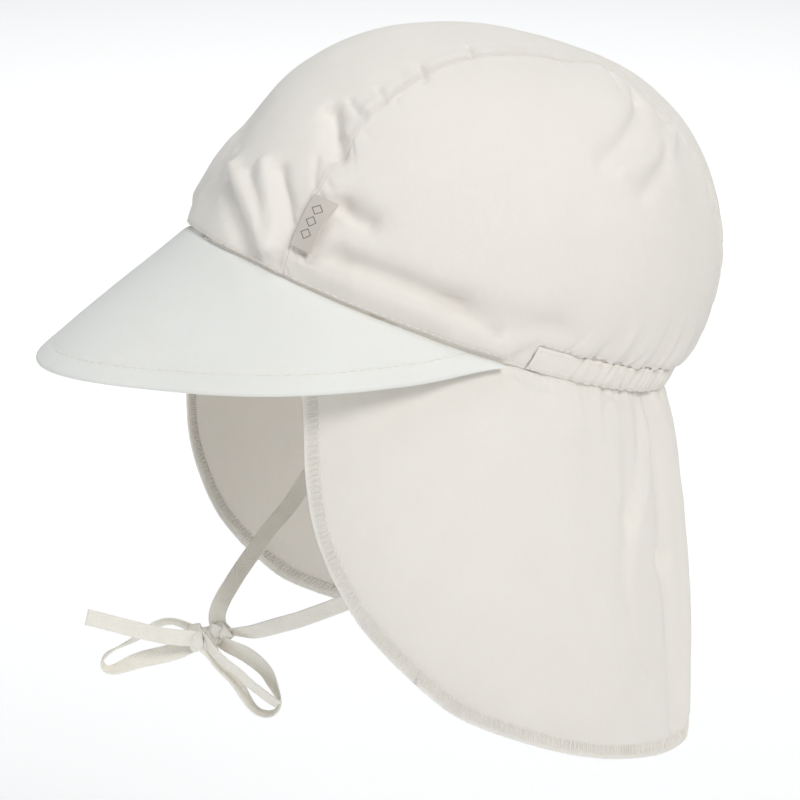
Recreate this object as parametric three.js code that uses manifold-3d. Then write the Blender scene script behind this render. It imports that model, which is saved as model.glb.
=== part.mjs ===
// A toddler's cotton sun cap: a three-panel crown, a soft peak, an elastic casing round the nape,
// a long neck flap, and two chin ties knotted in a bow. It hangs as it does on a level head.
// Millimetres. +Z is up, the wearer looks along -Y, and the wearer's left is +X.
// The origin is the middle of the head opening. Angles are degrees round the head, in plan:
// 0 is the forehead, 90 the left ear, 180 the nape.
import * as THREE from "three";
import Module from "manifold-3d";
import { mergeVertices } from "three/addons/utils/BufferGeometryUtils.js";

const wasm = await Module();
wasm.setup();

// Head opening: the seam that joins the crown to the peak, the casing and the flap
const headWidth = 133; // ear to ear
const headLength = 171; // forehead to nape, measured level
const rimRise = 34; // how far the seam at the forehead lies above the middle, and at the nape below it
const rimSag = 4.5; // how far the seam hangs below a straight line at the ears

// Cloth and sewing
const cloth = 1.2; // wall of the crown and of the flap
const seamGap = 0.3; // clearance between pieces that are sewn edge to edge

// Crown
const crownRise = 86; // its highest seam crossing above the middle of the head opening
const crownLean = 57; // how far behind that middle the crossing lies
const panelWidth = 80; // the centre panel, seam to seam over the forehead

// Peak
const peakReach = 57.5; // how far it stands out over the forehead, measured level
const peakEdgeDrop = 6.2; // how far its edge lies below the middle of the head opening
const peakBelly = 1.2; // how far it bulges up between its seam and its edge
const peakThickness = 2;
const peakEnd = 88; // angle of its two ends

// Elastic casing
const casingStart = 94; // angle of its two ends
const casingHeight = 8.5;
const casingThickness = 2.2;
const casingRibs = 34; // gathers from end to end
const casingRibDepth = 0.8;
const casingBulge = 0.8; // how far its middle stands out past its edges
const casingPlain = 0.05; // share of its length that stays smooth at each end

// Neck flap
const flapStart = 35; // angle at which its two front edges leave the seam
const flapLength = 132; // seam to hem at the nape
const flapFlare = 12; // how much further out the hem hangs than the seam
const flapRuffles = 9; // soft gathers below the casing, from ear to ear
const flapRuffleDepth = 1.2;
const flapRuffleEnd = 0.4; // where the gathers have run out, as a share of the flap's length

// Folded label in the seam of the left panel
const labelLength = 18;
const labelWidth = 7.5;
const labelThickness = 1.1;
const labelLift = 0.9; // clearance between the label and the rounded panel under it
const labelLevel = 0.13; // how far up the panel its middle lies, as a share

// Chin ties: flat woven tape
const tapeWidth = 6;
const tapeThickness = 0.9;
const knotLength = 17;
const knotHeight = 9;
const knotDepth = 8;
const knotTilt = 18; // its left end hangs lower than its right
const bowTurn = 66.4; // the bow faces this far round from the front

const nape = 180;
const fullTurn = 360;
const halfWidth = headWidth / 2;
const halfLength = headLength / 2;

// Crown sections, front to nape. shoulder: how square the section is (2 is an ellipse).
// swell: how far it bulges out past the head opening, as a share of the head's width.
const crownSections = [
  { angle: 0, shoulder: 2.77, swell: 0.036 },
  { angle: 45, shoulder: 2.61, swell: 0.03 },
  { angle: 90, shoulder: 2.32, swell: 0.036 },
  { angle: 135, shoulder: 1.85, swell: 0.04 },
  { angle: 180, shoulder: 2.03, swell: 0.05 },
];

// Seams of the centre panel. along: from forehead to nape, as a share of half the head's length.
// half: half the panel's width there, as a share of the width over the forehead.
const panelSeam = [
  { along: -1, half: 0.5 },
  { along: -0.7, half: 0.465 },
  { along: -0.4, half: 0.4 },
  { along: 0, half: 0.325 },
  { along: 0.5, half: 0.228 },
  { along: 0.8, half: 0.22 },
  { along: 1.1, half: 0.3 },
];

// Edge of the peak, forehead to ear. reach: how far it stands out, as a share of the peak's reach.
// drop: how far it lies below the middle of the head opening, as a share of the edge's drop.
const peakSections = [
  { angle: 0, reach: 1, drop: 0.92 },
  { angle: 22, reach: 0.69, drop: 0.98 },
  { angle: 44, reach: 0.49, drop: 0.85 },
  { angle: 66, reach: 0.235, drop: 0.82 },
  { angle: 88, reach: 0.05, drop: 0.7 },
];

// Folds of the crown. Each runs from one place to another, by angle and by level (0 at the seam,
// 1 at the top). width and height are shares of the centre panel's width; a dent's height is negative.
const crownFolds = [
  { angle: 2, level: 0.165, toAngle: 27, toLevel: 0.05, width: 0.055, height: 0.026 },
  { angle: 3, level: 0.125, toAngle: 25, toLevel: 0.02, width: 0.045, height: -0.022 },
  { angle: 13, level: 0.2, toAngle: 29, toLevel: 0.06, width: 0.045, height: 0.018 },
  { angle: 19, level: 0.2, toAngle: 30, toLevel: 0.11, width: 0.04, height: -0.018 },
  { angle: 19.5, level: 0.345, toAngle: 30, toLevel: 0.275, width: 0.05, height: -0.03 },
  { angle: -3, level: 0.1, toAngle: -12, toLevel: 0.26, width: 0.16, height: -0.034 },
  { angle: -12, level: 0.38, toAngle: -6, toLevel: 0.52, width: 0.25, height: 0.03 },
  { angle: -20, level: 0.2, toAngle: -26, toLevel: 0.06, width: 0.07, height: 0.02 },
  { angle: 4, level: 0.68, toAngle: 60, toLevel: 0.8, width: 0.26, height: -0.03 },
  { angle: 40, level: 0.183, toAngle: 46, toLevel: 0.177, width: 0.06, height: -0.04 },
  { angle: 45, level: 0.085, toAngle: 72, toLevel: 0.088, width: 0.055, height: -0.032 },
  { angle: 72, level: 0.088, toAngle: 94, toLevel: 0.1, width: 0.065, height: -0.03 },
  { angle: 44, level: 0.043, toAngle: 72, toLevel: 0.043, width: 0.045, height: 0.012 },
  { angle: 116, level: 0.75, toAngle: 90, toLevel: 0.5, width: 0.075, height: -0.026 },
  { angle: 134, level: 0.65, toAngle: 95, toLevel: 0.475, width: 0.055, height: 0.02 },
  { angle: 119, level: 0.58, toAngle: 104, toLevel: 0.445, width: 0.06, height: -0.018 },
  { angle: -48, level: 0.1, toAngle: -72, toLevel: 0.13, width: 0.08, height: -0.024 },
  { angle: -112, level: 0.6, toAngle: -92, toLevel: 0.44, width: 0.08, height: -0.02 },
];

// Front edge of the flap, from the seam down, and its hem, from there to the nape. drop: how far
// below the seam, as a share of the flap's length. flare: how far out, as a share of its flare.
const flapFrontEdge = [
  { angle: 35, drop: 0, flare: 0 },
  { angle: 40, drop: 0.09, flare: 0.4 },
  { angle: 43.5, drop: 0.27, flare: 0.9 },
  { angle: 45, drop: 0.46, flare: 1.15 },
  { angle: 48, drop: 0.62, flare: 1.2 },
  { angle: 56, drop: 0.785, flare: 1.2 },
  { angle: 67.5, drop: 0.9, flare: 1.2 },
];
const flapHem = [
  { share: 0, angle: 67.5, drop: 0.9, flare: 1.2 },
  { share: 0.12, angle: 76, drop: 0.96, flare: 1.15 },
  { share: 0.33, angle: 94, drop: 0.995, flare: 1.1 },
  { share: 0.47, angle: 109, drop: 1.005, flare: 1.05 },
  { share: 0.63, angle: 128, drop: 1, flare: 1 },
  { share: 0.8, angle: 150, drop: 0.99, flare: 1 },
  { share: 1, angle: 180, drop: 1, flare: 1 },
];

// Folds of the flap, by angle and by drop. width and height are shares of the flap's length.
const flapFolds = [
  { angle: 138, drop: 0.02, toAngle: 134, toDrop: 0.45, width: 0.035, height: -0.022 },
  { angle: 134, drop: 0.45, toAngle: 140, toDrop: 0.92, width: 0.035, height: -0.022 },
  { angle: 146, drop: 0.04, toAngle: 146, toDrop: 0.9, width: 0.035, height: 0.016 },
  { angle: 124, drop: 0.03, toAngle: 120, toDrop: 0.34, width: 0.03, height: -0.014 },
  { angle: -132, drop: 0.03, toAngle: -128, toDrop: 0.7, width: 0.04, height: -0.02 },
  { angle: -158, drop: 0.03, toAngle: -160, toDrop: 0.85, width: 0.04, height: -0.02 },
  { angle: 170, drop: 0.03, toAngle: 172, toDrop: 0.8, width: 0.04, height: -0.016 },
];

const radians = (degrees) => THREE.MathUtils.degToRad(degrees);

// A smooth value through the rows of a table
function along(rows, key, value) {
  const spline = new THREE.CubicInterpolant(rows.map((row) => row[key]), rows.map((row) => row[value]), 1);
  spline.settings = { endingStart: THREE.ZeroSlopeEnding, endingEnd: THREE.ZeroSlopeEnding };
  return (place) => spline.evaluate(place)[0];
}

const crownShoulder = along(crownSections, "angle", "shoulder");
const crownSwell = along(crownSections, "angle", "swell");
const panelHalf = along(panelSeam, "along", "half");
const peakShare = along(peakSections, "angle", "reach");
const peakDropShare = along(peakSections, "angle", "drop");

// Angle measured from the forehead, the same on both sides of the head
function fromForehead(angle) {
  const turned = THREE.MathUtils.euclideanModulo(angle, fullTurn);
  return Math.min(turned, fullTurn - turned);
}

// Outward direction at an angle, level with the floor
function outward(angle) {
  const across = Math.sin(radians(angle)) / halfWidth;
  const ahead = -Math.cos(radians(angle)) / halfLength;
  return new THREE.Vector3(across, ahead, 0).normalize();
}

// The seam round the head opening, moved outward by a distance
function rim(angle, out = 0) {
  const x = (halfWidth + out) * Math.sin(radians(angle));
  const y = -(halfLength + out) * Math.cos(radians(angle));
  const ahead = -Math.cos(radians(angle));
  return new THREE.Vector3(x, y, -rimRise * ahead - rimSag * (1 - ahead * ahead));
}

// Sum of a table's folds at a place, given the length of one degree and of one whole level
function foldHeight(folds, size, place, degree, level) {
  const here = new THREE.Vector2(place.angle * degree, place.level * level);
  let height = 0;
  for (const fold of folds) {
    const from = new THREE.Vector2(fold.angle * degree, fold.level * level);
    const to = new THREE.Vector2(fold.toAngle * degree, fold.toLevel * level);
    const run = to.clone().sub(from);
    const share = THREE.MathUtils.clamp(here.clone().sub(from).dot(run) / run.lengthSq(), 0, 1);
    const away = here.distanceTo(from.addScaledVector(run, share)) / (fold.width * size);
    height += fold.height * size * Math.exp(-away * away);
  }
  return height;
}

// A closed solid from a surface and its thickness. surface(u, v) gives points for u and v from 0
// to 1; the outside is where u turns to v counter-clockwise. A ring joins its first and last column.
function sheetSolid({ columns, rows, surface, thickness, inside = null, ring = false }) {
  const step = 1e-3;
  const points = [];
  const faces = [];
  const stride = rows + 1;
  const layer = (columns + 1) * stride;
  for (let i = 0; i <= columns; i += 1) {
    for (let j = 0; j <= rows; j += 1) {
      const u = ring ? (i % columns) / columns : i / columns;
      points.push(surface(u, j / rows));
    }
  }
  for (let i = 0; i <= columns; i += 1) {
    for (let j = 0; j <= rows; j += 1) {
      const u = ring ? (i % columns) / columns : i / columns;
      const v = j / rows;
      const point = points[i * stride + j];
      if (inside) {
        points.push(inside(u, v, point));
        continue;
      }
      const acrossU = surface(Math.min(u + step, 1), v).sub(surface(Math.max(u - step, 0), v));
      const acrossV = surface(u, Math.min(v + step, 1)).sub(surface(u, Math.max(v - step, 0)));
      const normal = acrossU.cross(acrossV).normalize();
      points.push(point.clone().addScaledVector(normal, -thickness));
    }
  }
  const quad = (a, b, c, d) => faces.push(a, b, c, a, c, d);
  const at = (i, j) => i * stride + j;
  for (let i = 0; i < columns; i += 1) {
    for (let j = 0; j < rows; j += 1) {
      quad(at(i, j), at(i + 1, j), at(i + 1, j + 1), at(i, j + 1));
      quad(layer + at(i, j), layer + at(i, j + 1), layer + at(i + 1, j + 1), layer + at(i + 1, j));
    }
    quad(at(i, 0), layer + at(i, 0), layer + at(i + 1, 0), at(i + 1, 0));
    if (!ring) {
      quad(at(i, rows), at(i + 1, rows), layer + at(i + 1, rows), layer + at(i, rows));
    }
  }
  for (let j = 0; !ring && j < rows; j += 1) {
    quad(at(0, j), at(0, j + 1), layer + at(0, j + 1), layer + at(0, j));
    quad(at(columns, j), layer + at(columns, j), layer + at(columns, j + 1), at(columns, j + 1));
  }
  const geometry = new THREE.BufferGeometry();
  geometry.setAttribute("position", new THREE.Float32BufferAttribute(points.flatMap((p) => p.toArray()), 3));
  geometry.setIndex(faces);
  return welded(geometry);
}

// The geometry with shared vertices merged and empty faces left out
function welded(geometry) {
  geometry.deleteAttribute("normal");
  geometry.deleteAttribute("uv");
  const merged = mergeVertices(geometry, 1e-3);
  const index = Array.from(merged.index.array);
  const kept = [];
  for (let k = 0; k < index.length; k += 3) {
    const [a, b, c] = index.slice(k, k + 3);
    if (a !== b && b !== c && c !== a) {
      kept.push(a, b, c);
    }
  }
  merged.setIndex(kept);
  return merged;
}

function toManifold(geometry) {
  return new wasm.Manifold(new wasm.Mesh({
    numProp: 3,
    vertProperties: new Float32Array(geometry.attributes.position.array),
    triVerts: new Uint32Array(geometry.index.array),
  }));
}

function toGeometry(manifold) {
  const mesh = manifold.getMesh();
  const geometry = new THREE.BufferGeometry();
  geometry.setAttribute("position", new THREE.BufferAttribute(mesh.vertProperties, 3));
  geometry.setIndex(new THREE.BufferAttribute(mesh.triVerts, 1));
  return geometry;
}

// Crown surface. level runs from the seam (0) to the crossing at the top (1).
const crownTop = new THREE.Vector3(0, crownLean, crownRise);
const rimNormal = new THREE.Vector3(0, rimRise, halfLength).normalize();
const crownHeight = crownTop.dot(rimNormal);
const crownDegree = Math.PI * (halfWidth + halfLength) / fullTurn; // length of one degree round the crown
const shoulderCut = 0.85; // length over the rounded shoulder, as a share of the way round a square one
const crownLevel = (crownHeight + halfLength) * shoulderCut; // length from the seam to the top
const casingLevel = Math.atan((casingHeight + seamGap) / crownHeight) / (Math.PI / 2);
const casingRunIn = 8; // degrees over which the crown draws in towards the casing
const foldFade = { from: 0.85, to: 0.98 }; // levels between which the folds run out

function crownPoint(angle, level) {
  const side = fromForehead(angle);
  const square = crownShoulder(side);
  const turn = level * Math.PI / 2;
  const reach = (Math.cos(turn) ** square + Math.sin(turn) ** square) ** (-1 / square);
  const foot = casingLevel * THREE.MathUtils.smoothstep(side, casingStart - casingRunIn, casingStart);
  const swollen = THREE.MathUtils.clamp((level - foot) / (1 - foot), 0, 1);
  const swell = crownSwell(side) * headWidth * Math.sin(Math.PI * Math.sqrt(swollen));
  const signed = THREE.MathUtils.euclideanModulo(angle + nape, fullTurn) - nape;
  const fading = 1 - THREE.MathUtils.smoothstep(level, foldFade.from, foldFade.to);
  const fold = fading * foldHeight(crownFolds, panelWidth, { angle: signed, level }, crownDegree, crownLevel);
  const point = rim(angle).multiplyScalar(reach * Math.cos(turn));
  point.addScaledVector(crownTop, reach * Math.sin(turn));
  const facing = outward(angle).multiplyScalar(Math.cos(turn)).addScaledVector(rimNormal, Math.sin(turn));
  return point.addScaledVector(outward(angle), swell).addScaledVector(facing, fold);
}

function crownNormal(angle, level) {
  const step = 0.01;
  const below = Math.min(level, 1 - 2 * step);
  if (level > 1 - step) {
    return rimNormal.clone();
  }
  const round = crownPoint(angle + 1, below).sub(crownPoint(angle - 1, below));
  const up = crownPoint(angle, below + step).sub(crownPoint(angle, Math.max(below - step, 0)));
  return round.cross(up).normalize();
}

// Angle of the left panel seam at a level of the crown
function seamAngle(level) {
  let low = 0;
  let high = 80;
  while (high - low > 0.01) {
    const middle = (low + high) / 2;
    const point = crownPoint(middle, level);
    if (point.x < panelWidth * panelHalf(point.y / halfLength)) {
      low = middle;
    } else {
      high = middle;
    }
  }
  return low;
}

// Crown columns stand closer together over the forehead, where the folds are
const crownColumns = 72;
const crownRows = 13;
const frontCrowding = 0.3;
const crownAngle = (u) => fullTurn * u - frontCrowding * THREE.MathUtils.radToDeg(Math.sin(2 * Math.PI * u));
const rowCrowding = 1.1;
const crownRow = (v) => v ** rowCrowding;

const crownShell = toManifold(sheetSolid({
  columns: crownColumns,
  rows: crownRows,
  ring: true,
  surface: (u, v) => crownPoint(crownAngle(u), crownRow(v)),
  inside: (u, v, point) => point.clone()
    .addScaledVector(crownNormal(crownAngle(u), crownRow(v)), -cloth),
}));

// Casing: a gathered tunnel along the seam round the nape
const casingAngle = (u) => casingStart + (fullTurn - 2 * casingStart) * u;
const casingUp = crownTop.clone().normalize();

function casingPoint(u, height, out) {
  const angle = casingAngle(u);
  return rim(angle).addScaledVector(casingUp, height).addScaledVector(outward(angle), out);
}

function casingRib(u) {
  const gathered = THREE.MathUtils.smoothstep(Math.min(u, 1 - u), casingPlain, 2 * casingPlain);
  return gathered * casingRibDepth * (Math.abs(Math.sin(Math.PI * casingRibs * u)) - 1);
}

// Cutter that leaves room in the crown for the casing
const roomReach = 8; // how far it stands out on either side of the seam
const roomEnd = seamGap / (crownDegree * (fullTurn - 2 * casingStart)); // clearance at each end
const casingRoom = toManifold(sheetSolid({
  columns: 40,
  rows: 1,
  thickness: 2 * roomReach,
  surface: (u, v) => casingPoint(
    THREE.MathUtils.lerp(-roomEnd, 1 + roomEnd, u),
    THREE.MathUtils.lerp(-1.5 * roomReach, casingHeight + seamGap, v),
    roomReach,
  ),
}));

const casing = sheetSolid({
  columns: casingRibs * 4,
  rows: 2,
  surface: (u, v) => casingPoint(u, v * casingHeight, casingRib(u) + casingBulge * Math.sin(Math.PI * v)),
  inside: (u, v) => casingPoint(u, v * casingHeight, -casingThickness),
});

// Crown panels: the shell cut along the two seams, in plan
function panelPrism(left, right) {
  const reachY = headLength;
  const outline = new THREE.Shape();
  const steps = 24;
  const edge = (side, share) => {
    const y = THREE.MathUtils.lerp(-reachY, reachY, share);
    return new THREE.Vector2(side(y), y);
  };
  const points = [];
  for (let k = 0; k <= steps; k += 1) {
    points.push(edge(right, k / steps));
  }
  for (let k = steps; k >= 0; k -= 1) {
    points.push(edge(left, k / steps));
  }
  outline.setFromPoints(points);
  const prism = new THREE.ExtrudeGeometry(outline, { depth: 3 * crownRise, bevelEnabled: false });
  return toManifold(welded(prism.translate(0, 0, -crownRise)));
}

const seamLine = (y) => panelWidth * panelHalf(y / halfLength);
const openCrown = crownShell.subtract(casingRoom);
const centrePanel = openCrown.intersect(panelPrism((y) => -seamLine(y), seamLine));
const leftPanel = openCrown.intersect(panelPrism((y) => seamLine(y) + seamGap, () => headWidth));
const rightPanel = openCrown.intersect(panelPrism(() => -headWidth, (y) => -seamLine(y) - seamGap));

// Peak
function peakPoint(u, v) {
  const angle = THREE.MathUtils.lerp(peakEnd, -peakEnd, u);
  const side = Math.abs(angle);
  const edge = rim(angle).addScaledVector(outward(angle), peakReach * peakShare(side));
  edge.z = -peakEdgeDrop * peakDropShare(side);
  const seam = rim(angle);
  seam.z -= seamGap;
  const point = seam.lerp(edge, v);
  point.z += peakBelly * peakShare(side) * 4 * v * (1 - v);
  return point;
}

const peak = sheetSolid({ columns: 40, rows: 4, thickness: peakThickness, surface: peakPoint });

// Flap: its four borders are blended into one surface, then folded
const hemValue = {};
const frontValue = {};
for (const key of ["angle", "drop", "flare"]) {
  hemValue[key] = along(flapHem, "share", key);
  const rows = flapFrontEdge.map((row, k) => ({ ...row, share: k / (flapFrontEdge.length - 1) }));
  frontValue[key] = along(rows, "share", key);
}
const flapStep = 5; // degrees over which its top edge rises past the end of the peak
const flapTopDrop = (angle) => seamGap + (peakThickness + cloth)
  * (1 - THREE.MathUtils.smoothstep(angle, peakEnd, peakEnd + flapStep));
const napeCurve = 2.7; // how soon the nape reaches its full flare; 1 is a straight line

function flapPlace(u, v) {
  const top = { angle: THREE.MathUtils.lerp(flapStart, nape, u), drop: 0, flare: 0 };
  const hemEnd = flapHem.at(-1);
  const back = { angle: nape, drop: hemEnd.drop * v, flare: hemEnd.flare * (1 - (1 - v) ** napeCurve) };
  const place = {};
  for (const key of ["angle", "drop", "flare"]) {
    const topRight = key === "angle" ? nape : 0;
    const corners = (1 - u) * (1 - v) * flapFrontEdge[0][key] + u * (1 - v) * topRight
      + (1 - u) * v * flapHem[0][key] + u * v * hemEnd[key];
    const topAndHem = (1 - v) * top[key] + v * hemValue[key](u);
    const frontAndBack = (1 - u) * frontValue[key](v) + u * back[key];
    place[key] = topAndHem + frontAndBack - corners;
  }
  return place;
}

// Soft gathers that start below the casing and run out further down
function flapRuffle(place) {
  const share = THREE.MathUtils.clamp((place.angle - casingStart) / (nape - casingStart), 0, 1);
  const wave = Math.sin(Math.PI / 2 * flapRuffles * share) ** 2;
  const starting = THREE.MathUtils.smoothstep(place.drop, 0, flapRuffleEnd / 4);
  const ending = 1 - THREE.MathUtils.smoothstep(place.drop, flapRuffleEnd / 4, flapRuffleEnd);
  return flapRuffleDepth * wave * starting * ending;
}

function flapPoint(across, v) {
  const left = across > 0.5;
  const u = left ? 2 - across * 2 : across * 2;
  const place = flapPlace(u, v);
  const topDrop = flapTopDrop(place.angle);
  const angle = left ? place.angle : -place.angle;
  const folds = flapFolds.map((fold) => ({ ...fold, level: fold.drop, toLevel: fold.toDrop }));
  const fold = foldHeight(folds, flapLength, { angle, level: place.drop }, crownDegree, flapLength);
  const out = place.flare * flapFlare - cloth / 2 + fold + flapRuffle(place);
  const point = rim(angle, out);
  point.z = rim(angle).z - topDrop - place.drop * (flapLength - topDrop);
  return point;
}

const flap = sheetSolid({
  columns: 56,
  rows: 9,
  thickness: cloth,
  surface: flapPoint,
});

// Label: lies on the left panel beside the seam
const labelBottom = labelLevel - labelLength / crownLevel / 2;
const label = sheetSolid({
  columns: 4,
  rows: 4,
  surface: (u, v) => labelPoint(u, v, labelLift + labelThickness),
  inside: (u, v) => labelPoint(u, v, labelLift),
});

function labelPoint(u, v, lift) {
  const level = labelBottom + v * labelLength / crownLevel;
  const angle = seamAngle(level) + (seamGap + u * labelWidth) / crownDegree;
  return crownPoint(angle, level).addScaledVector(crownNormal(angle, level), lift);
}

// Chin ties. Places along each tape from the middle of the knot, in millimetres: to the bow's
// right, out towards its front, and up. The last number is how far the tape turns edge-on, in degrees.
const tapeRoutes = {
  chin_tie_left: [
    [5, -2, 0.8, 50], [10, -1.5, 0.9, 40], [15.8, 1, 2, 15], [23.2, 5, 5.4, 0],
    [32, 10, 9.9, 0], [41.8, 14.5, 15.1, 0], [49.4, 18.8, 19.9, 0], [68.4, 22.5, 30.8, 0],
    [88.5, 23.5, 55.8, 8], [102.7, 22.2, 79.8, 16], [109.6, 21.1, 97.8, 24], [110.9, 20.6, 107.3, 24],
  ],
  chin_tie_right: [
    [3.5, -2, 1.5, 0], [2.4, -5, 5, 0], [3.6, -8.1, 9, 0], [6.5, -13.8, 12.9, 0],
    [13.6, -24.5, 21.1, 0], [21.1, -35.4, 28.6, 0], [29.4, -46.7, 36.1, 0],
    [46.8, -69.5, 60.8, 8], [55.3, -87.5, 80.8, 16], [59.4, -93.8, 97.8, 24], [60.6, -94.5, 107.3, 24],
  ],
  tie_end_left: [
    [-4.4, 3, 0, 0], [-8.8, 4.5, 0.9, 0], [-15.1, 4.5, 1.7, 0], [-21.3, 4, 2.9, 0],
    [-27.5, 3.9, 4.4, 0], [-33.7, 4, 6.3, 0], [-38.9, 4, 7.7, 0], [-42.3, 4, 8.5, 0],
  ],
  tie_end_right: [
    [-1.3, 3, -0.7, 45], [1.9, 4.5, -3.9, 45], [5.7, 5, -7.8, 45], [10.5, 5, -12.2, 45],
    [15.6, 5, -17, 45], [20.5, 5, -20.7, 45], [24, 5, -23.3, 45],
  ],
  bow_loop_left: [
    [-5.6, -0.6, -3, 30], [-10.6, -0.3, -5.4, 25], [-16.5, -0.5, -7.2, 25], [-23.2, -1, -8.9, 35],
    [-29.6, -0.9, -11.1, 55], [-34.8, -1, -13, 80], [-37.6, -1.5, -12.4, 90], [-38, -2, -9.6, 90],
    [-35.8, -2, -7, 85], [-31.3, -3, -5.1, 70], [-26.4, -3.5, -2.4, 60], [-21.8, -4, 0.8, 55],
    [-18, -4.5, 3.2, 50], [-13.7, -4.5, 4.3, 50], [-9.2, -3, 3.4, 45], [-4.2, -1, 1.5, 40],
  ],
  bow_loop_right: [
    [2.5, 0.5, -0.7, 30], [8, 1.6, -3.4, 20], [12.1, 2, -5.6, 10], [16.2, 2, -8.8, 15],
    [20.1, 1, -13, 30], [22.5, 1, -18.2, 50], [24.2, 1, -23.4, 70], [23.8, 1, -27.1, 90],
    [21, 0.5, -29.2, 90], [16.8, 0, -28.6, 85], [14, 0, -25.6, 75], [11.9, 0, -21.5, 65],
    [9.5, 0, -17, 60], [6.4, 0.4, -13.3, 55], [3, 0.8, -9.2, 50], [0, 1, -4.6, 45],
  ],
};

const knotPlace = new THREE.Vector3(0, -83.7, -110.8);
const bowRight = new THREE.Vector3(Math.cos(radians(bowTurn)), Math.sin(radians(bowTurn)), 0);
const bowFront = new THREE.Vector3(Math.sin(radians(bowTurn)), -Math.cos(radians(bowTurn)), 0);

function bowPlace([right, front, up]) {
  return knotPlace.clone().addScaledVector(bowRight, right).addScaledVector(bowFront, front)
    .add(new THREE.Vector3(0, 0, up));
}

// Knot: a squashed lump, level along the bow but for its tilt
function knotSolid(extra) {
  const ball = new THREE.SphereGeometry(0.5, 16, 12);
  ball.scale(knotLength + 2 * extra, knotDepth + 2 * extra, knotHeight + 2 * extra);
  ball.rotateY(-radians(knotTilt)).rotateZ(radians(bowTurn));
  return welded(ball.translate(...knotPlace.toArray()));
}

const tapeFacet = 3.9; // longest facet along a tape

function tapeSolid(route) {
  const curve = new THREE.CatmullRomCurve3(route.map(bowPlace));
  const turns = new THREE.CatmullRomCurve3(route.map((place) => new THREE.Vector3(place[3], 0, 0)));
  const sheet = sheetSolid({
    columns: Math.ceil(curve.getLength() / tapeFacet),
    rows: 1,
    thickness: tapeThickness,
    surface: (u, v) => {
      const share = curve.getUtoTmapping(u);
      const along = curve.getTangent(share);
      const side = along.clone().cross(bowFront).normalize();
      side.applyAxisAngle(along, radians(turns.getPoint(share).x));
      return curve.getPoint(share).addScaledVector(side, (0.5 - v) * tapeWidth);
    },
  });
  return toGeometry(toManifold(sheet).subtract(toManifold(knotSolid(seamGap))));
}

// Assembly
const offWhite = 0xf1ece6;
const coolWhite = 0xeff1ec;
const creamTape = 0xe6ddd0;
const greige = 0xccc4bc;

function piece(name, geometry, color, roughness = 0.85) {
  geometry.computeVertexNormals();
  const mesh = new THREE.Mesh(geometry, new THREE.MeshStandardMaterial({ color, roughness, metalness: 0 }));
  mesh.name = name;
  return mesh;
}

const crown = new THREE.Group();
crown.add(
  piece("crown_centre_panel", toGeometry(centrePanel), offWhite),
  piece("crown_side_panel_left", toGeometry(leftPanel), offWhite),
  piece("crown_side_panel_right", toGeometry(rightPanel), offWhite),
  piece("side_label", label, greige, 0.6),
);

const edgeParts = new THREE.Group();
edgeParts.add(
  piece("peak", peak, coolWhite),
  piece("elastic_casing", casing, offWhite),
  piece("neck_flap", flap, offWhite),
);

const ties = new THREE.Group();
for (const [name, route] of Object.entries(tapeRoutes)) {
  ties.add(piece(name, tapeSolid(route), creamTape));
}
ties.add(piece("bow_knot", knotSolid(0), creamTape));

const cap = new THREE.Group();
cap.add(crown, edgeParts, ties);

export default cap;
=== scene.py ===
# A toddler's cotton sun cap, worn on a head that isn't shown: a three-panel crown, a soft peak, an
# elastic casing round the nape, a long neck flap with an overlocked edge, a folded side label and
# two chin tapes tied in a bow. Sizes are in millimetres until a mesh is made, which is in metres.
# Angles are degrees round the head: 0 is the forehead, 90 the left ear, 180 the nape.
import math
import random

import bmesh
import bpy
import numpy as np
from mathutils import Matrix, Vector, noise
from mathutils.bvhtree import BVHTree


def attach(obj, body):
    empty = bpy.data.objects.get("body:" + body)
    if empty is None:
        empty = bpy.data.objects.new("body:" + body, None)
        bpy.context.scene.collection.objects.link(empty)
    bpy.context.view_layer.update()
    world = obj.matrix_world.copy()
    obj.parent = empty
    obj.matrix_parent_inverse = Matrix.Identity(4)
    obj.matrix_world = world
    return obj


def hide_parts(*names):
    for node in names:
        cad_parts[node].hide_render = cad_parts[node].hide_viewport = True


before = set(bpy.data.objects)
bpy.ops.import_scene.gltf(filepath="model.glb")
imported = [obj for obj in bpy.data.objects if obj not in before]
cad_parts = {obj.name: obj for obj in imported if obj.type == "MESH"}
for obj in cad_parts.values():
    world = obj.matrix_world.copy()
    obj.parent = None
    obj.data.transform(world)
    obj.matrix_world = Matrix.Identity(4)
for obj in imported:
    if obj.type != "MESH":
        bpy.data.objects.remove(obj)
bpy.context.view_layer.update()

# Camera: level with the photograph's view, from the wearer's left and a little above, with a long
# lens. The image is square.
camera_azimuth = 66.4
camera_elevation = 16.56
camera_distance = 1.4
camera_aim = Vector((-0.0041, -0.0094, -0.035))
camera_sensor = 36
camera_lens = 179.55
camera_data = bpy.data.cameras.new("camera")
camera_data.sensor_width = camera_sensor
camera_data.lens = camera_lens
camera = bpy.data.objects.new("camera", camera_data)
bpy.context.collection.objects.link(camera)


def direction(azimuth, elevation):
    """From the cap towards a camera or a lamp at these angles."""
    a = math.radians(azimuth)
    e = math.radians(elevation)
    return Vector((math.sin(a) * math.cos(e), -math.cos(a) * math.cos(e), math.sin(e)))


towards = direction(camera_azimuth, camera_elevation)
camera.location = camera_aim + towards * camera_distance
camera.rotation_euler = towards.to_track_quat("Z", "Y").to_euler()
bpy.context.scene.camera = camera


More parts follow.
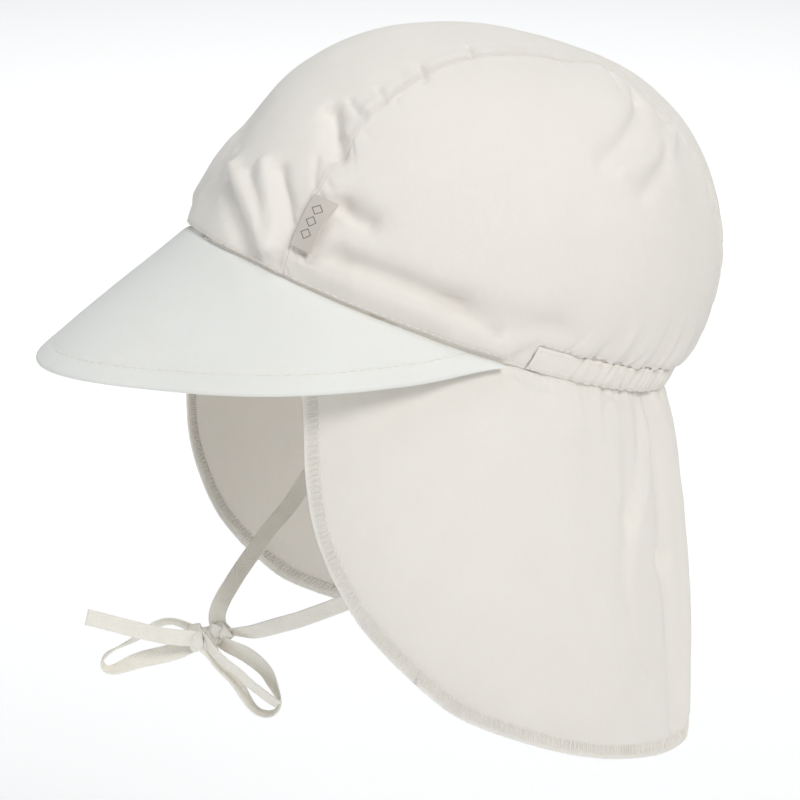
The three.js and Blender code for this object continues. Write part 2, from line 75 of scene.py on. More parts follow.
# Shader maths. A wire is a socket that adds Math nodes when it stands in an expression, and a
# finish is a material whose other nodes come from its one method, node().
class Wire:
    def __init__(self, finish, socket):
        self.finish = finish
        self.socket = socket

    def maths(self, operation, *values):
        return self.finish.node("ShaderNodeMath", {"operation": operation}, *values)

    def __add__(self, other):
        return self.maths("ADD", self, other)

    def __radd__(self, other):
        return self.maths("ADD", other, self)

    def __sub__(self, other):
        return self.maths("SUBTRACT", self, other)

    def __mul__(self, other):
        return self.maths("MULTIPLY", self, other)

    def sine(self):
        return self.maths("SINE", self)

    def size(self):
        return self.maths("ABSOLUTE", self)

    def below(self, limit):
        return self.maths("LESS_THAN", self, limit)

    def within(self, low, high):
        return self.finish.node("ShaderNodeMapRange", {"clamp": True}, self, low, high)


class Finish:
    def __init__(self, name):
        self.material = bpy.data.materials.new(name)
        self.material.use_nodes = True
        self.tree = self.material.node_tree
        self.shader = self.tree.nodes["Principled BSDF"]

    def node(self, kind, settings, *values, output=0):
        made = self.tree.nodes.new(kind)
        for key, value in settings.items():
            setattr(made, key, value)
        for socket, value in zip(made.inputs, values):
            if isinstance(value, Wire):
                self.tree.links.new(value.socket, socket)
            elif value is not None:
                socket.default_value = value
        return Wire(self, made.outputs[output])

    def feed(self, name, value):
        if isinstance(value, Wire):
            self.tree.links.new(value.socket, self.shader.inputs[name])
        else:
            self.shader.inputs[name].default_value = value

    def noise(self, place, scale, detail):
        return self.node("ShaderNodeTexNoise", {}, place, None, scale, detail)

    def bump(self, strength, distance, height):
        return self.node("ShaderNodeBump", {}, strength, distance, None, height)

    def cloth_map(self):
        """Millimetres along the cloth and across it."""
        cloth_map = self.node("ShaderNodeUVMap", {"uv_map": "cloth"})
        parts = self.tree.nodes.new("ShaderNodeSeparateXYZ")
        self.tree.links.new(cloth_map.socket, parts.inputs[0])
        return Wire(self, parts.outputs[0]), Wire(self, parts.outputs[1])

    def translucent(self, weight, depth):
        """Light that sinks into thin cloth, a little further in red than in blue."""
        self.feed("Subsurface Weight", weight)
        self.feed("Subsurface Radius", (1.0, 0.9, 0.75))
        self.feed("Subsurface Scale", depth)

    def blend(self, share, first, second):
        made = self.tree.nodes.new("ShaderNodeMix")
        made.data_type = "RGBA"
        for name, value in (("Factor_Float", share), ("A_Color", first), ("B_Color", second)):
            socket = next(s for s in made.inputs if s.identifier == name)
            if isinstance(value, Wire):
                self.tree.links.new(value.socket, socket)
            else:
                socket.default_value = value
        return Wire(self, next(s for s in made.outputs if s.identifier == "Result_Color"))


# Floor and light: a plain pale floor well below the cap in a bright studio. One large soft light
# stands over the camera's shoulder, one hangs over the cap, one fills it from low in front, and one
# keeps the floor behind it pale.
floor_drop = 0.42
floor_reach = 14.0
floor_grey = 0.93
floor_glow = 0.15
world_strength = 0.4
bpy.ops.mesh.primitive_plane_add(size=2 * floor_reach, location=(0, 0, -floor_drop))
floor = bpy.context.object
floor.name = "floor"
floor_finish = Finish("pale_floor")
floor_finish.feed("Base Color", (floor_grey, floor_grey, floor_grey, 1))
floor_finish.feed("Roughness", 0.9)
floor_finish.feed("Emission Color", (1, 1, 1, 1))
floor_finish.feed("Emission Strength", floor_glow)
floor.data.materials.append(floor_finish.material)

world = bpy.data.worlds.new("studio")
world.use_nodes = True
sky = world.node_tree.nodes["Background"]
sky.inputs["Color"].default_value = (0.95, 0.98, 1.0, 1)
sky.inputs["Strength"].default_value = world_strength
bpy.context.scene.world = world


def soft_light(name, place, facing_away, size, power, tint=(1, 1, 1)):
    """A round lamp. It shines the other way from facing_away, so towards the cap."""
    data = bpy.data.lights.new(name, "AREA")
    data.shape = "DISK"
    data.size = size
    data.energy = power
    data.color = tint
    lamp = bpy.data.objects.new(name, data)
    bpy.context.collection.objects.link(lamp)
    lamp.location = place
    lamp.rotation_euler = facing_away.to_track_quat("Z", "Y").to_euler()


key_way = direction(98, 42)
top_way = direction(50, 80)
fill_way = direction(14, -12)
soft_light("key_light", key_way * 1.9, key_way, 0.7, 17, (1.0, 0.98, 0.95))
soft_light("top_light", top_way * 1.7, top_way, 0.8, 5, (0.93, 0.97, 1.0))
soft_light("fill_light", fill_way * 1.3, fill_way, 0.5, 1.8)
soft_light("floor_light", Vector((-1.75, 0.75, 0.75)), Vector((0, 0, 1)), 2.4, 15)
bpy.context.scene.view_settings.view_transform = "Standard"
bpy.context.scene.view_settings.look = "None"


# Crown: three panels of cotton poplin, cut and sewn along two seams that run from the forehead to
# the nape. The cloth is soft, so it dents beside the seams and bulges over the casing.
MM = 0.001
head_width = 133.0
head_length = 171.0
rim_rise = 34.0
rim_sag = 4.5
crown_rise = 86.0
crown_lean = 57.0
panel_width = 80.0
cloth = 0.7
casing_start = 94.0
casing_height = 8.5
seam_gap = 0.3
nape = 180.0
fold_fade = (0.85, 0.98)

# angle, shoulder (2 is an ellipse), swell as a share of the head's width
crown_sections = [
    (0, 2.77, 0.036),
    (45, 2.61, 0.03),
    (90, 2.32, 0.036),
    (135, 1.85, 0.04),
    (180, 2.03, 0.05),
]

# place along the panel as a share of half the head's length, half its width as a share
panel_seam = [
    (-1, 0.5),
    (-0.7, 0.465),
    (-0.4, 0.4),
    (0, 0.325),
    (0.5, 0.228),
    (0.8, 0.22),
    (1.1, 0.3),
]

# from angle, from level, to angle, to level, width and height as shares of the centre panel
crown_folds = [
    (2, 0.165, 27, 0.05, 0.055, 0.026),
    (3, 0.125, 25, 0.02, 0.045, -0.022),
    (13, 0.2, 29, 0.06, 0.045, 0.018),
    (19, 0.2, 30, 0.11, 0.04, -0.018),
    (19.5, 0.345, 30, 0.275, 0.05, -0.03),
    (-3, 0.1, -12, 0.26, 0.16, -0.034),
    (-12, 0.38, -6, 0.52, 0.25, 0.03),
    (-20, 0.2, -26, 0.06, 0.07, 0.02),
    (4, 0.68, 60, 0.8, 0.26, -0.03),
    (40, 0.183, 46, 0.177, 0.06, -0.04),
    (45, 0.085, 72, 0.088, 0.055, -0.032),
    (72, 0.088, 94, 0.1, 0.065, -0.03),
    (44, 0.043, 72, 0.043, 0.045, 0.012),
    (116, 0.75, 90, 0.5, 0.075, -0.026),
    (134, 0.65, 95, 0.475, 0.055, 0.02),
    (119, 0.58, 104, 0.445, 0.06, -0.018),
    (-48, 0.1, -72, 0.13, 0.08, -0.024),
    (-112, 0.6, -92, 0.44, 0.08, -0.02),
]

# Small creases: height, width on either side in millimetres, how much is left at the far end, and
# the places that each runs through as angle and level
crown_creases = [
    (1.6, 2.4, 2.0, 0.8, [(2.2, 0.167), (11.2, 0.14), (21, 0.097), (27, 0.05)]),
    (-1.7, 2.0, 1.6, 0.9, [(2.5, 0.138), (12.5, 0.104), (20.5, 0.062), (25.8, 0.024)]),
    (-1.4, 1.8, 2.0, 0.6, [(10.5, 0.172), (19.2, 0.13), (24, 0.088)]),
    (1.0, 1.8, 1.8, 0.8, [(13, 0.205), (20, 0.155), (25.8, 0.108), (29, 0.05)]),
    (-1.8, 1.8, 1.6, 0.9, [(19.2, 0.198), (25.8, 0.153), (30.5, 0.112)]),
    (-1.3, 1.2, 1.2, 0.5, [(26.2, 0.25), (30.5, 0.2)]),
    (-2.8, 2.8, 2.0, 0.7, [(19.5, 0.345), (24.5, 0.317), (30.2, 0.275)]),
    (-1.3, 1.4, 1.4, 0.8, [(21.5, 0.383), (27, 0.363)]),
    (-1.1, 1.0, 1.2, 0.9, [(25.5, 0.428), (30, 0.412)]),
    (-1.5, 1.0, 1.4, 1.0, [(27.2, 0.517), (32.5, 0.495)]),
    (-1.5, 1.0, 1.4, 1.0, [(26, 0.645), (33.8, 0.612)]),
    (0.8, 1.6, 1.6, 1.0, [(26.5, 0.327), (28.5, 0.32)]),
    (0.7, 1.5, 1.5, 1.0, [(27, 0.385), (28.8, 0.38)]),
    (-2.6, 2.6, 3.0, 0.8, [(39.5, 0.183), (42.2, 0.177), (46, 0.175)]),
    (-1.7, 3.4, 2.2, 1.3, [(38.8, 0.068), (45.5, 0.082), (52, 0.09), (58.8, 0.092), (65.8, 0.09),
                           (72, 0.087), (77.8, 0.073), (83.2, 0.058)]),
    (1.0, 2.4, 2.4, 0.8, [(37.2, 0.046), (47.2, 0.05), (56.2, 0.056), (65.2, 0.056), (72.5, 0.046)]),
    (-1.4, 3.5, 3.0, 0.8, [(83.2, 0.062), (87, 0.076), (91.8, 0.1), (96.5, 0.1), (102, 0.096)]),
    (-1.6, 1.2, 1.2, 0.3, [(88.8, 0.918), (104, 0.89), (98.2, 0.81), (98, 0.743)]),
    (-1.2, 3.2, 2.6, 0.5, [(116.5, 0.748), (98.5, 0.612), (91.2, 0.51), (88, 0.468)]),
    (1.0, 2.0, 2.4, 0.4, [(134.5, 0.652), (103.2, 0.552), (94.5, 0.475)]),
    (-1.1, 3.0, 2.6, 0.3, [(119.2, 0.58), (109.5, 0.508), (104.5, 0.445)]),
    (-1.4, 1.3, 1.3, 0.3, [(101.5, 0.06), (102.5, 0.1)]),
    (-1.3, 1.3, 1.3, 0.3, [(108.7, 0.06), (108, 0.092)]),
    (-1.4, 1.4, 1.2, 0.3, [(114.6, 0.06), (113.6, 0.1)]),
    (-1.3, 1.3, 1.3, 0.3, [(121.4, 0.06), (122.6, 0.09)]),
    (-1.6, 1.6, 1.6, 0.4, [(127.5, 0.07), (128, 0.12), (127.2, 0.16)]),
    (-0.7, 2.4, 2.4, 0.3, [(-30.5, 0.29), (-26, 0.31), (-20, 0.337)]),
    (-1.2, 2.6, 2.2, 0.5, [(-42, 0.08), (-56, 0.1), (-72, 0.11), (-84, 0.07)]),
    (-1.2, 1.2, 1.4, 0.2, [(-33, 0.55), (-29, 0.56)]),
    (-1.2, 1.2, 1.4, 0.2, [(-99, 0.79), (-92, 0.73)]),
    (1.2, 2.4, 2.0, 0.5, [(-6, 0.19), (-15, 0.14), (-24, 0.07)]),
    (-1.2, 2.0, 2.0, 0.6, [(-9, 0.14), (-17, 0.1), (-25, 0.04)]),
    (-1.1, 3.2, 3.2, 0.3, [(-128, 0.63), (-101, 0.52), (-92, 0.45)]),
]

half_width = head_width / 2
half_length = head_length / 2


def smooth_step(value, low, high):
    share = np.clip((np.asarray(value, float) - low) / (high - low), 0, 1)
    return share * share * (3 - 2 * share)


def smooth_through(rows, column):
    """A smooth value through one column of a table, level at both ends."""
    places = np.array([row[0] for row in rows], float)
    values = np.array([row[column] for row in rows], float)
    last = len(rows) - 1

    def value(place):
        place = np.asarray(place, float)
        i = np.clip(np.searchsorted(places, place, side="right"), 1, last)
        x0, x1, y0, y1 = places[i - 1], places[i], values[i - 1], values[i]
        before = np.where(i > 1, places[np.maximum(i - 2, 0)], 2 * x0 - x1)
        below = np.where(i > 1, values[np.maximum(i - 2, 0)], y1)
        after = np.where(i < last, places[np.minimum(i + 1, last)], 2 * x1 - x0)
        above = np.where(i < last, values[np.minimum(i + 1, last)], y0)
        first_slope = (y1 - below) / (x1 - before) * (x1 - x0)
        second_slope = (above - y0) / (after - x0) * (x1 - x0)
        p = np.clip((place - x0) / (x1 - x0), 0, 1)
        start = (2 * p**3 - 3 * p**2 + 1) * y0 + (p**3 - 2 * p**2 + p) * first_slope
        return start + (3 * p**2 - 2 * p**3) * y1 + (p**3 - p**2) * second_slope

    return value


crown_shoulder = smooth_through(crown_sections, 1)
crown_swell = smooth_through(crown_sections, 2)
panel_half = smooth_through(panel_seam, 1)


def signed_angle(angle):
    return (np.asarray(angle, float) + nape) % 360 - nape


def from_forehead(angle):
    return np.abs(signed_angle(angle))


def unit(vectors):
    lengths = np.linalg.norm(vectors, axis=-1, keepdims=True)
    return vectors / np.maximum(lengths, 1e-9)


def outward(angle):
    t = np.radians(angle)
    return unit(np.stack([np.sin(t) / half_width, -np.cos(t) / half_length, 0 * t], -1))


def rim(angle, out=0.0):
    """The seam round the head opening, and what lies further out from it."""
    t = np.radians(angle)
    ahead = -np.cos(t)
    height = -rim_rise * ahead - rim_sag * (1 - ahead * ahead)
    return np.stack([(half_width + out) * np.sin(t), (half_length + out) * ahead, height], -1)


def fold_height(folds, size, angle, level, degree, level_length):
    """Height of the main folds, each a straight ridge or dent with soft sides."""
    height = np.zeros(np.shape(angle))
    for a0, l0, a1, l1, width, rise_share in folds:
        start = np.array([a0 * degree, l0 * level_length])
        run = np.array([a1 * degree, l1 * level_length]) - start
        here = np.stack([angle * degree, level * level_length], -1) - start
        share = np.clip(here @ run / (run @ run), 0, 1)
        away = np.linalg.norm(here - share[..., None] * run, axis=-1) / (width * size)
        height += rise_share * size * np.exp(-away * away)
    return height


crown_top = np.array([0, crown_lean, crown_rise])
rim_normal = unit(np.array([0, rim_rise, half_length]))
crown_height = crown_top @ rim_normal
crown_degree = math.pi * (half_width + half_length) / 360
crown_level = (crown_height + half_length) * 0.85
casing_level = math.atan((casing_height + seam_gap) / crown_height) / (math.pi / 2)


def crown_point(angle, level):
    """A point of the crown, from its rim at level 0 to its top at level 1."""
    angle, level = np.broadcast_arrays(np.asarray(angle, float), np.asarray(level, float))
    side = from_forehead(angle)
    square = crown_shoulder(side)
    arc = np.clip(level, 0, 1) * math.pi / 2
    ahead, over = np.maximum(np.cos(arc), 0), np.maximum(np.sin(arc), 0)
    reach = (ahead**square + over**square) ** (-1 / square)
    foot = casing_level * smooth_step(side, casing_start - 8, casing_start)
    share = np.clip((level - foot) / (1 - foot), 0, 1)
    swell = crown_swell(side) * head_width * np.sin(math.pi * np.sqrt(share))
    fading = 1 - smooth_step(level, *fold_fade)
    fold = fading * fold_height(crown_folds, panel_width, signed_angle(angle), level,
                                crown_degree, crown_level)
    facing = outward(angle) * ahead[..., None] + rim_normal * over[..., None]
    point = rim(angle) * (reach * ahead)[..., None] + crown_top * (reach * over)[..., None]
    return point + outward(angle) * swell[..., None] + facing * fold[..., None]


def crease_height(points, normals, crease, place):
    """Height of one crease at points of a surface. place turns its places into points."""
    height, left_width, right_width, rest, route = crease
    nodes = place(np.array([p[0] for p in route], float), np.array([p[1] for p in route], float))
    lengths = np.linalg.norm(np.diff(nodes, axis=0), axis=1)
    nearest = np.full(points.shape[:-1], np.inf)
    side = np.zeros(points.shape[:-1])
    gone = np.zeros(points.shape[:-1])
    travelled = 0.0
    for start, end, length in zip(nodes[:-1], nodes[1:], lengths):
        run = end - start
        share = np.clip((points - start) @ run / (run @ run), 0, 1)
        offset = points - start - share[..., None] * run
        away = np.linalg.norm(offset, axis=-1)
        closer = away < nearest
        nearest = np.where(closer, away, nearest)
        turned = np.einsum("...k,...k->...", np.cross(normals, run), offset)
        side = np.where(closer, turned, side)
        gone = np.where(closer, travelled + share * length, gone)
        travelled += length
    width = np.where(side > 0, left_width, right_width)
    left = 1 + (rest - 1) * gone / travelled
    return height * left * np.exp(-((nearest / width) ** 1.5))


def grid_normals(points):
    across = np.gradient(points, axis=0)
    along = np.gradient(points, axis=1)
    return unit(np.cross(across, along))


def lumpiness(points, scale, seed):
    """Fixed random lumps of the cloth, of a size in millimetres."""
    flat = points.reshape(-1, 3) / scale + seed
    values = [noise.noise(Vector(p)) for p in flat]
    return np.array(values).reshape(points.shape[:-1])


def distance_along(points, axis):
    steps = np.linalg.norm(np.diff(points, axis=axis), axis=-1)
    zero = np.zeros_like(np.take(steps, [0], axis=axis))
    return np.cumsum(np.concatenate([zero, steps], axis=axis), axis=axis)


def cloth_piece(name, outside, inside, finish):
    """A closed cloth solid from grids of its outside and inside, in millimetres."""
    columns, rows = outside.shape[0], outside.shape[1]
    layer = columns * rows
    points = np.concatenate([outside.reshape(-1, 3), inside.reshape(-1, 3)]) * MM
    index = np.arange(layer).reshape(columns, rows)
    a, b, c, d = index[:-1, :-1], index[1:, :-1], index[1:, 1:], index[:-1, 1:]
    outer = np.stack([a, b, c, d], -1).reshape(-1, 4)
    inner = np.stack([d, c, b, a], -1).reshape(-1, 4) + layer
    borders = [(index[:-1, 0], index[1:, 0]), (index[1:, -1], index[:-1, -1])]
    borders += [(index[0, 1:], index[0, :-1]), (index[-1, :-1], index[-1, 1:])]
    walls = [np.stack([e, s, s + layer, e + layer], -1) for s, e in borders]
    faces = np.concatenate([outer, inner, *walls])
    mesh = bpy.data.meshes.new(name)
    mesh.from_pydata(points.tolist(), [], faces.tolist())
    u = distance_along(outside, 0)
    v = distance_along(outside, 1)
    v = v[:, -1:] - v
    flat = np.stack([u.mean(axis=1, keepdims=True) + 0 * v, v], -1).reshape(-1, 2)
    flat = np.concatenate([flat, flat])
    corners = np.zeros(len(mesh.loops), dtype=np.int32)
    mesh.loops.foreach_get("vertex_index", corners)
    mesh.uv_layers.new(name="cloth").data.foreach_set("uv", flat[corners].ravel())
    mesh.polygons.foreach_set("use_smooth", [True] * len(mesh.polygons))
    edge_points = {int(i) for s, e in borders for i in s} | {int(i) for s, e in borders for i in e}
    edge_points |= {i + layer for i in edge_points}
    sharp = mesh.attributes.new("sharp_edge", "BOOLEAN", "EDGE")
    flags = [e.vertices[0] in edge_points and e.vertices[1] in edge_points for e in mesh.edges]
    sharp.data.foreach_set("value", flags)
    mesh.materials.append(finish.material)
    mesh.validate()
    piece = bpy.data.objects.new(name, mesh)
    bpy.context.collection.objects.link(piece)
    return piece


thread_pitch = 0.42
weft_spacing = 0.8
thread_wander = 3.0
weave_height = 0.035
slub_stretch = (900, 900, 220)


def cotton(name, colour, shade, slub=0.03, crumple=0.12, glow=0.12):
    """Woven cotton: its threads, slubs and small crumples, in one off-white with a soft shade."""
    finish = Finish(name)
    place = finish.node("ShaderNodeTexCoord", {}, output=3)
    warp, weft = finish.cloth_map()
    wander = finish.noise(place, 260.0, 1.0)
    turns = 2 * math.pi / thread_pitch
    warp_thread = (warp * turns + wander * thread_wander).sine()
    weft_thread = (weft * (turns * weft_spacing) + wander * thread_wander).sine()
    threads = warp_thread * weft_thread
    stretched = finish.node("ShaderNodeMapping", {}, place, None, None, slub_stretch)
    slubs = finish.noise(stretched, 1.0, 2.0)
    mottle = finish.noise(place, 55.0, 3.0)
    height = threads * weave_height + slubs * slub + finish.noise(place, 130.0, 3.0) * crumple
    finish.feed("Normal", finish.bump(1.0, MM, height))
    tone = (mottle * 0.5 + slubs * 0.35 + threads * 0.04).within(0.2, 0.75)
    finish.feed("Base Color", finish.blend(tone, shade, colour))
    finish.feed("Roughness", slubs * 0.1 + 0.81)
    finish.feed("Specular IOR Level", 0.25)
    finish.feed("Sheen Weight", 0.12)
    finish.feed("Sheen Roughness", 0.5)
    finish.translucent(glow, 0.0015)
    return finish


poplin = cotton("off_white_poplin", (0.875, 0.84, 0.79, 1), (0.84, 0.8, 0.745, 1))


def seam_line(y):
    """How far the panel seam lies from the middle of the cap."""
    return panel_width * panel_half(y / half_length)


def trace_seam(side, count):
    """Angle and level of a panel seam from the forehead to the casing, at even distances."""
    turning_level = 0.6
    halvings = 40
    front_levels = np.linspace(0, turning_level, 300)
    back_levels = np.linspace(turning_level, casing_level, 300)

    def solve(low, high, beyond):
        for _ in range(halvings):
            middle = (low + high) / 2
            past = beyond(middle)
            low, high = np.where(past, low, middle), np.where(past, middle, high)
        return (low + high) / 2

    def clear_of_seam(angle, level):
        point = crown_point(side * angle, level)
        return side * point[..., 0] > seam_line(point[..., 1])

    front = solve(front_levels * 0, front_levels * 0 + 80, lambda a: clear_of_seam(a, front_levels))
    back = solve(back_levels * 0 + 100, back_levels * 0 + 180, lambda a: ~clear_of_seam(a, back_levels))
    over_angles = np.linspace(front[-1], back[0], 400)[1:-1]
    over = solve(over_angles * 0 + 0.4, over_angles * 0 + 1, lambda v: ~clear_of_seam(over_angles, v))
    angles = np.concatenate([front, over_angles, back])
    levels = np.concatenate([front_levels, over, back_levels])
    gone = distance_along(crown_point(side * angles, levels), 0)
    even = np.linspace(0, gone[-1], count)
    return np.interp(even, gone, angles), np.interp(even, gone, levels), gone[-1]


def to_disc(angle, level):
    """The crown laid flat as a disc: its rim is the circle and its top the middle."""
    t = np.radians(angle)
    return np.stack([(1 - level) * np.sin(t), -(1 - level) * np.cos(t)], -1)


def from_disc(disc):
    away = np.linalg.norm(disc, axis=-1)
    return np.degrees(np.arctan2(disc[..., 0], -disc[..., 1])), np.clip(1 - away, 0, 1)


# The elastic draws the cloth into uneven gathers, which are drawn once, with a fixed seed
casing_gathers = 52
gather_seed = 11
draw = random.Random(gather_seed)
gather_places = [0.0]
while gather_places[-1] < 1:
    gather_places.append(gather_places[-1] + draw.uniform(0.6, 1.4) / casing_gathers)
gather_places = np.array(gather_places) / gather_places[-1]


def gather_phase(angle):
    """Counts the gathers from one end of the casing to the other."""
    share = ((np.asarray(angle, float) % 360) - casing_start) / (360 - 2 * casing_start)
    return np.interp(share, gather_places, np.arange(len(gather_places)))


def gather_waves(angle, away, small, small_reach, large, large_reach):
    """Small gathers, and larger ones of about three each, that fade away from the elastic."""
    phase = gather_phase(angle)
    fine = np.cos(2 * math.pi * phase) * np.exp(-away / small_reach)
    broad = np.cos(2 * math.pi * phase / 3.0 + 0.8 * np.sin(phase))
    return small * fine + large * (broad * np.exp(-(((away - 4) / large_reach) ** 2)))


def crown_gathers(angle, level):
    side = from_forehead(angle)
    above = np.maximum(level - casing_level, 0) * crown_level
    started = smooth_step(side, casing_start + 4, casing_start + 14)
    return started * gather_waves(angle, above, 0.42, 4.5, 0.75, 10)


def seam_puckers(count, length, seed, deepest):
    """Place, width, reach, depth and lean of each pucker along a seam."""
    pick = random.Random(seed)
    found = []
    for k in range(count):
        place = (k + pick.uniform(0.15, 0.85)) * length / count
        width, reach = pick.uniform(0.9, 2.0), pick.uniform(3.0, 8.0)
        depth, lean = deepest * pick.uniform(0.3, 1.0), pick.uniform(-0.5, 0.5)
        found.append((place, width, reach, depth, lean))
    return found


def pucker_height(puckers, gone, away):
    """Height of the puckers at a distance along the seam and away from it."""
    height = np.zeros(np.shape(gone))
    for place, width, reach, depth, lean in puckers:
        off = (gone - place - lean * away) / width
        height -= depth * np.exp(-off * off) * np.exp(-((away / reach) ** 2))
    return height * (1 - np.exp(-((away / 1.0) ** 2)))


seam_depth = 0.6
seam_width = 0.5
puff_place = 3.2
puff_width = 2.4
rim_tuck = 0.8
rim_tuck_width = 0.9


def seam_roll(away, puff):
    """Cloth rolls down into the seam, and puffs up beside it."""
    rolled = -seam_depth * np.exp(-((away / seam_width) ** 2))
    return rolled + puff * np.exp(-(((away - puff_place) / puff_width) ** 2))


def crown_facing(disc):
    """Outward direction of the crown at places of its disc."""
    step = 0.004
    across, along = np.array([step, 0]), np.array([0, step])
    over = crown_point(*from_disc(disc + across)) - crown_point(*from_disc(disc - across))
    back = crown_point(*from_disc(disc + along)) - crown_point(*from_disc(disc - along))
    return unit(np.cross(over, back))


def crown_surface(disc, away, gone, puckers, puff, seed):
    """The crown's cloth at places of its disc, away from a seam and so far gone along it."""
    angle, level = from_disc(disc)
    base = crown_point(angle, level)
    normals = crown_facing(disc * 0.995)
    gathers = crown_gathers(signed_angle(angle), level)
    height = seam_roll(away, puff) + pucker_height(puckers, gone, away) + gathers
    for crease in crown_creases:
        height += crease_height(base, normals, crease, crown_point)
    rim_distance = level * crown_level
    height += 0.3 * lumpiness(base, 17.0, seed) + 0.1 * lumpiness(base, 6.0, seed + 5)
    at_rim = smooth_step(from_forehead(angle), casing_start - 2, casing_start)
    height -= (1 - at_rim) * rim_tuck * np.exp(-((rim_distance / rim_tuck_width) ** 2))
    return base + normals * height[..., None], normals


def above_casing(disc):
    """Moves the places that the casing covers up to its top edge."""
    angle, level = from_disc(disc)
    side = from_forehead(angle)
    least = casing_level * smooth_step(side, casing_start - 0.35, casing_start - 0.05)
    return to_disc(angle, np.maximum(level, least))


seam_points = 330
side_rows = 100
centre_columns = 110
side_pucker_count = 26
side_pucker_depth = 0.9
centre_pucker_count = 30
centre_pucker_depth = 1.0
centre_puff = 0.45
left_seam = trace_seam(1, seam_points)
right_seam = trace_seam(-1, seam_points)
row_share = 1 - (1 - np.linspace(0, 1, side_rows)) ** 1.5
crown_grids = []

for side, seam, word, seed in ((1, left_seam, "left", 3), (-1, right_seam, "right", 4)):
    puckers = seam_puckers(side_pucker_count, seam[2], seed, side_pucker_depth)
    foot_angle = np.linspace(seam[0][0], seam[0][-1], seam_points)
    foot = to_disc(foot_angle, 0 * foot_angle)
    head = to_disc(seam[0], seam[1])
    disc = foot[:, None] + (head - foot)[:, None] * row_share[None, :, None]
    disc = above_casing(disc)
    disc[..., 0] *= side
    base = crown_point(*from_disc(disc))
    gone_up = distance_along(base, 1)
    away = gone_up[:, -1:] - gone_up
    gone = np.linspace(0, seam[2], seam_points)[:, None] + 0 * away
    surface, normals = crown_surface(disc, away, gone, puckers, 0.0, 3.0 * side)
    if side < 0:
        surface, normals = surface[::-1], normals[::-1]
    crown_grids.append(surface)
    panel = cloth_piece("crown_" + word + "_panel", surface, surface - normals * cloth, poplin)
    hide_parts("crown_side_panel_" + word)
    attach(panel, "root")

# The centre panel is bowed out on the disc, so that its front and back ends lie on the rim
across = np.linspace(-1, 1, centre_columns)
across = np.sign(across) * (1 - (1 - np.abs(across)) ** 1.25)
left_end = to_disc(left_seam[0], left_seam[1])
right_end = to_disc(right_seam[0], right_seam[1])
on_left = across[:, None] > 0
edge_p = np.where(on_left, left_end[None, :, 0], right_end[None, :, 0])
edge_q = np.where(on_left, left_end[None, :, 1], right_end[None, :, 1])
middle_q = (left_end[:, 1] + right_end[:, 1])[None, :] / 2
p = across[:, None] * edge_p
q = middle_q + (edge_q - middle_q) * np.abs(across[:, None]) ** 2
bow = np.linspace(1, -1, seam_points)[None, :]
q -= bow * (np.sqrt(np.maximum(1 - p**2, 0)) - np.sqrt(np.maximum(1 - edge_p**2, 0)))
disc = np.stack([p, q], -1)
disc[:, 0] = unit(disc[:, 0])
disc = above_casing(disc)
base = crown_point(*from_disc(disc))
gone_across = distance_along(base, 0)
away = np.minimum(gone_across[-1:] - gone_across, gone_across)
gone = np.linspace(0, left_seam[2], seam_points)[None, :] + 0 * away
puckers = seam_puckers(centre_pucker_count, left_seam[2], 9, centre_pucker_depth)
surface, normals = crown_surface(disc, away, gone, puckers, centre_puff, 8.0)
crown_grids.append(surface)
panel = cloth_piece("crown_centre", surface, surface - normals * cloth, poplin)
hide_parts("crown_centre_panel")
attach(panel, "root")


# Sewing thread: spun cotton, laid by two Geometry Nodes trees. One sets short stitches at even
# steps along a row, flat on the cloth. The other runs a thread along its whole route.
thread_finish = Finish("sewing_thread")
thread_place = thread_finish.node("ShaderNodeTexCoord", {}, output=3)
thread_twist = thread_finish.noise(thread_place, 2600.0, 1.0)
thread_tone = thread_finish.noise(thread_place, 180.0, 2.0).within(0.3, 0.7)
thread_shade = (0.85, 0.815, 0.75, 1)
thread_colour = (0.92, 0.885, 0.825, 1)
thread_finish.feed("Base Color", thread_finish.blend(thread_tone, thread_shade, thread_colour))
thread_finish.feed("Normal", thread_finish.bump(0.5, 0.0004, thread_twist))
thread_finish.feed("Roughness", 0.65 + thread_tone * 0.1)
thread_finish.feed("Sheen Weight", 0.1)


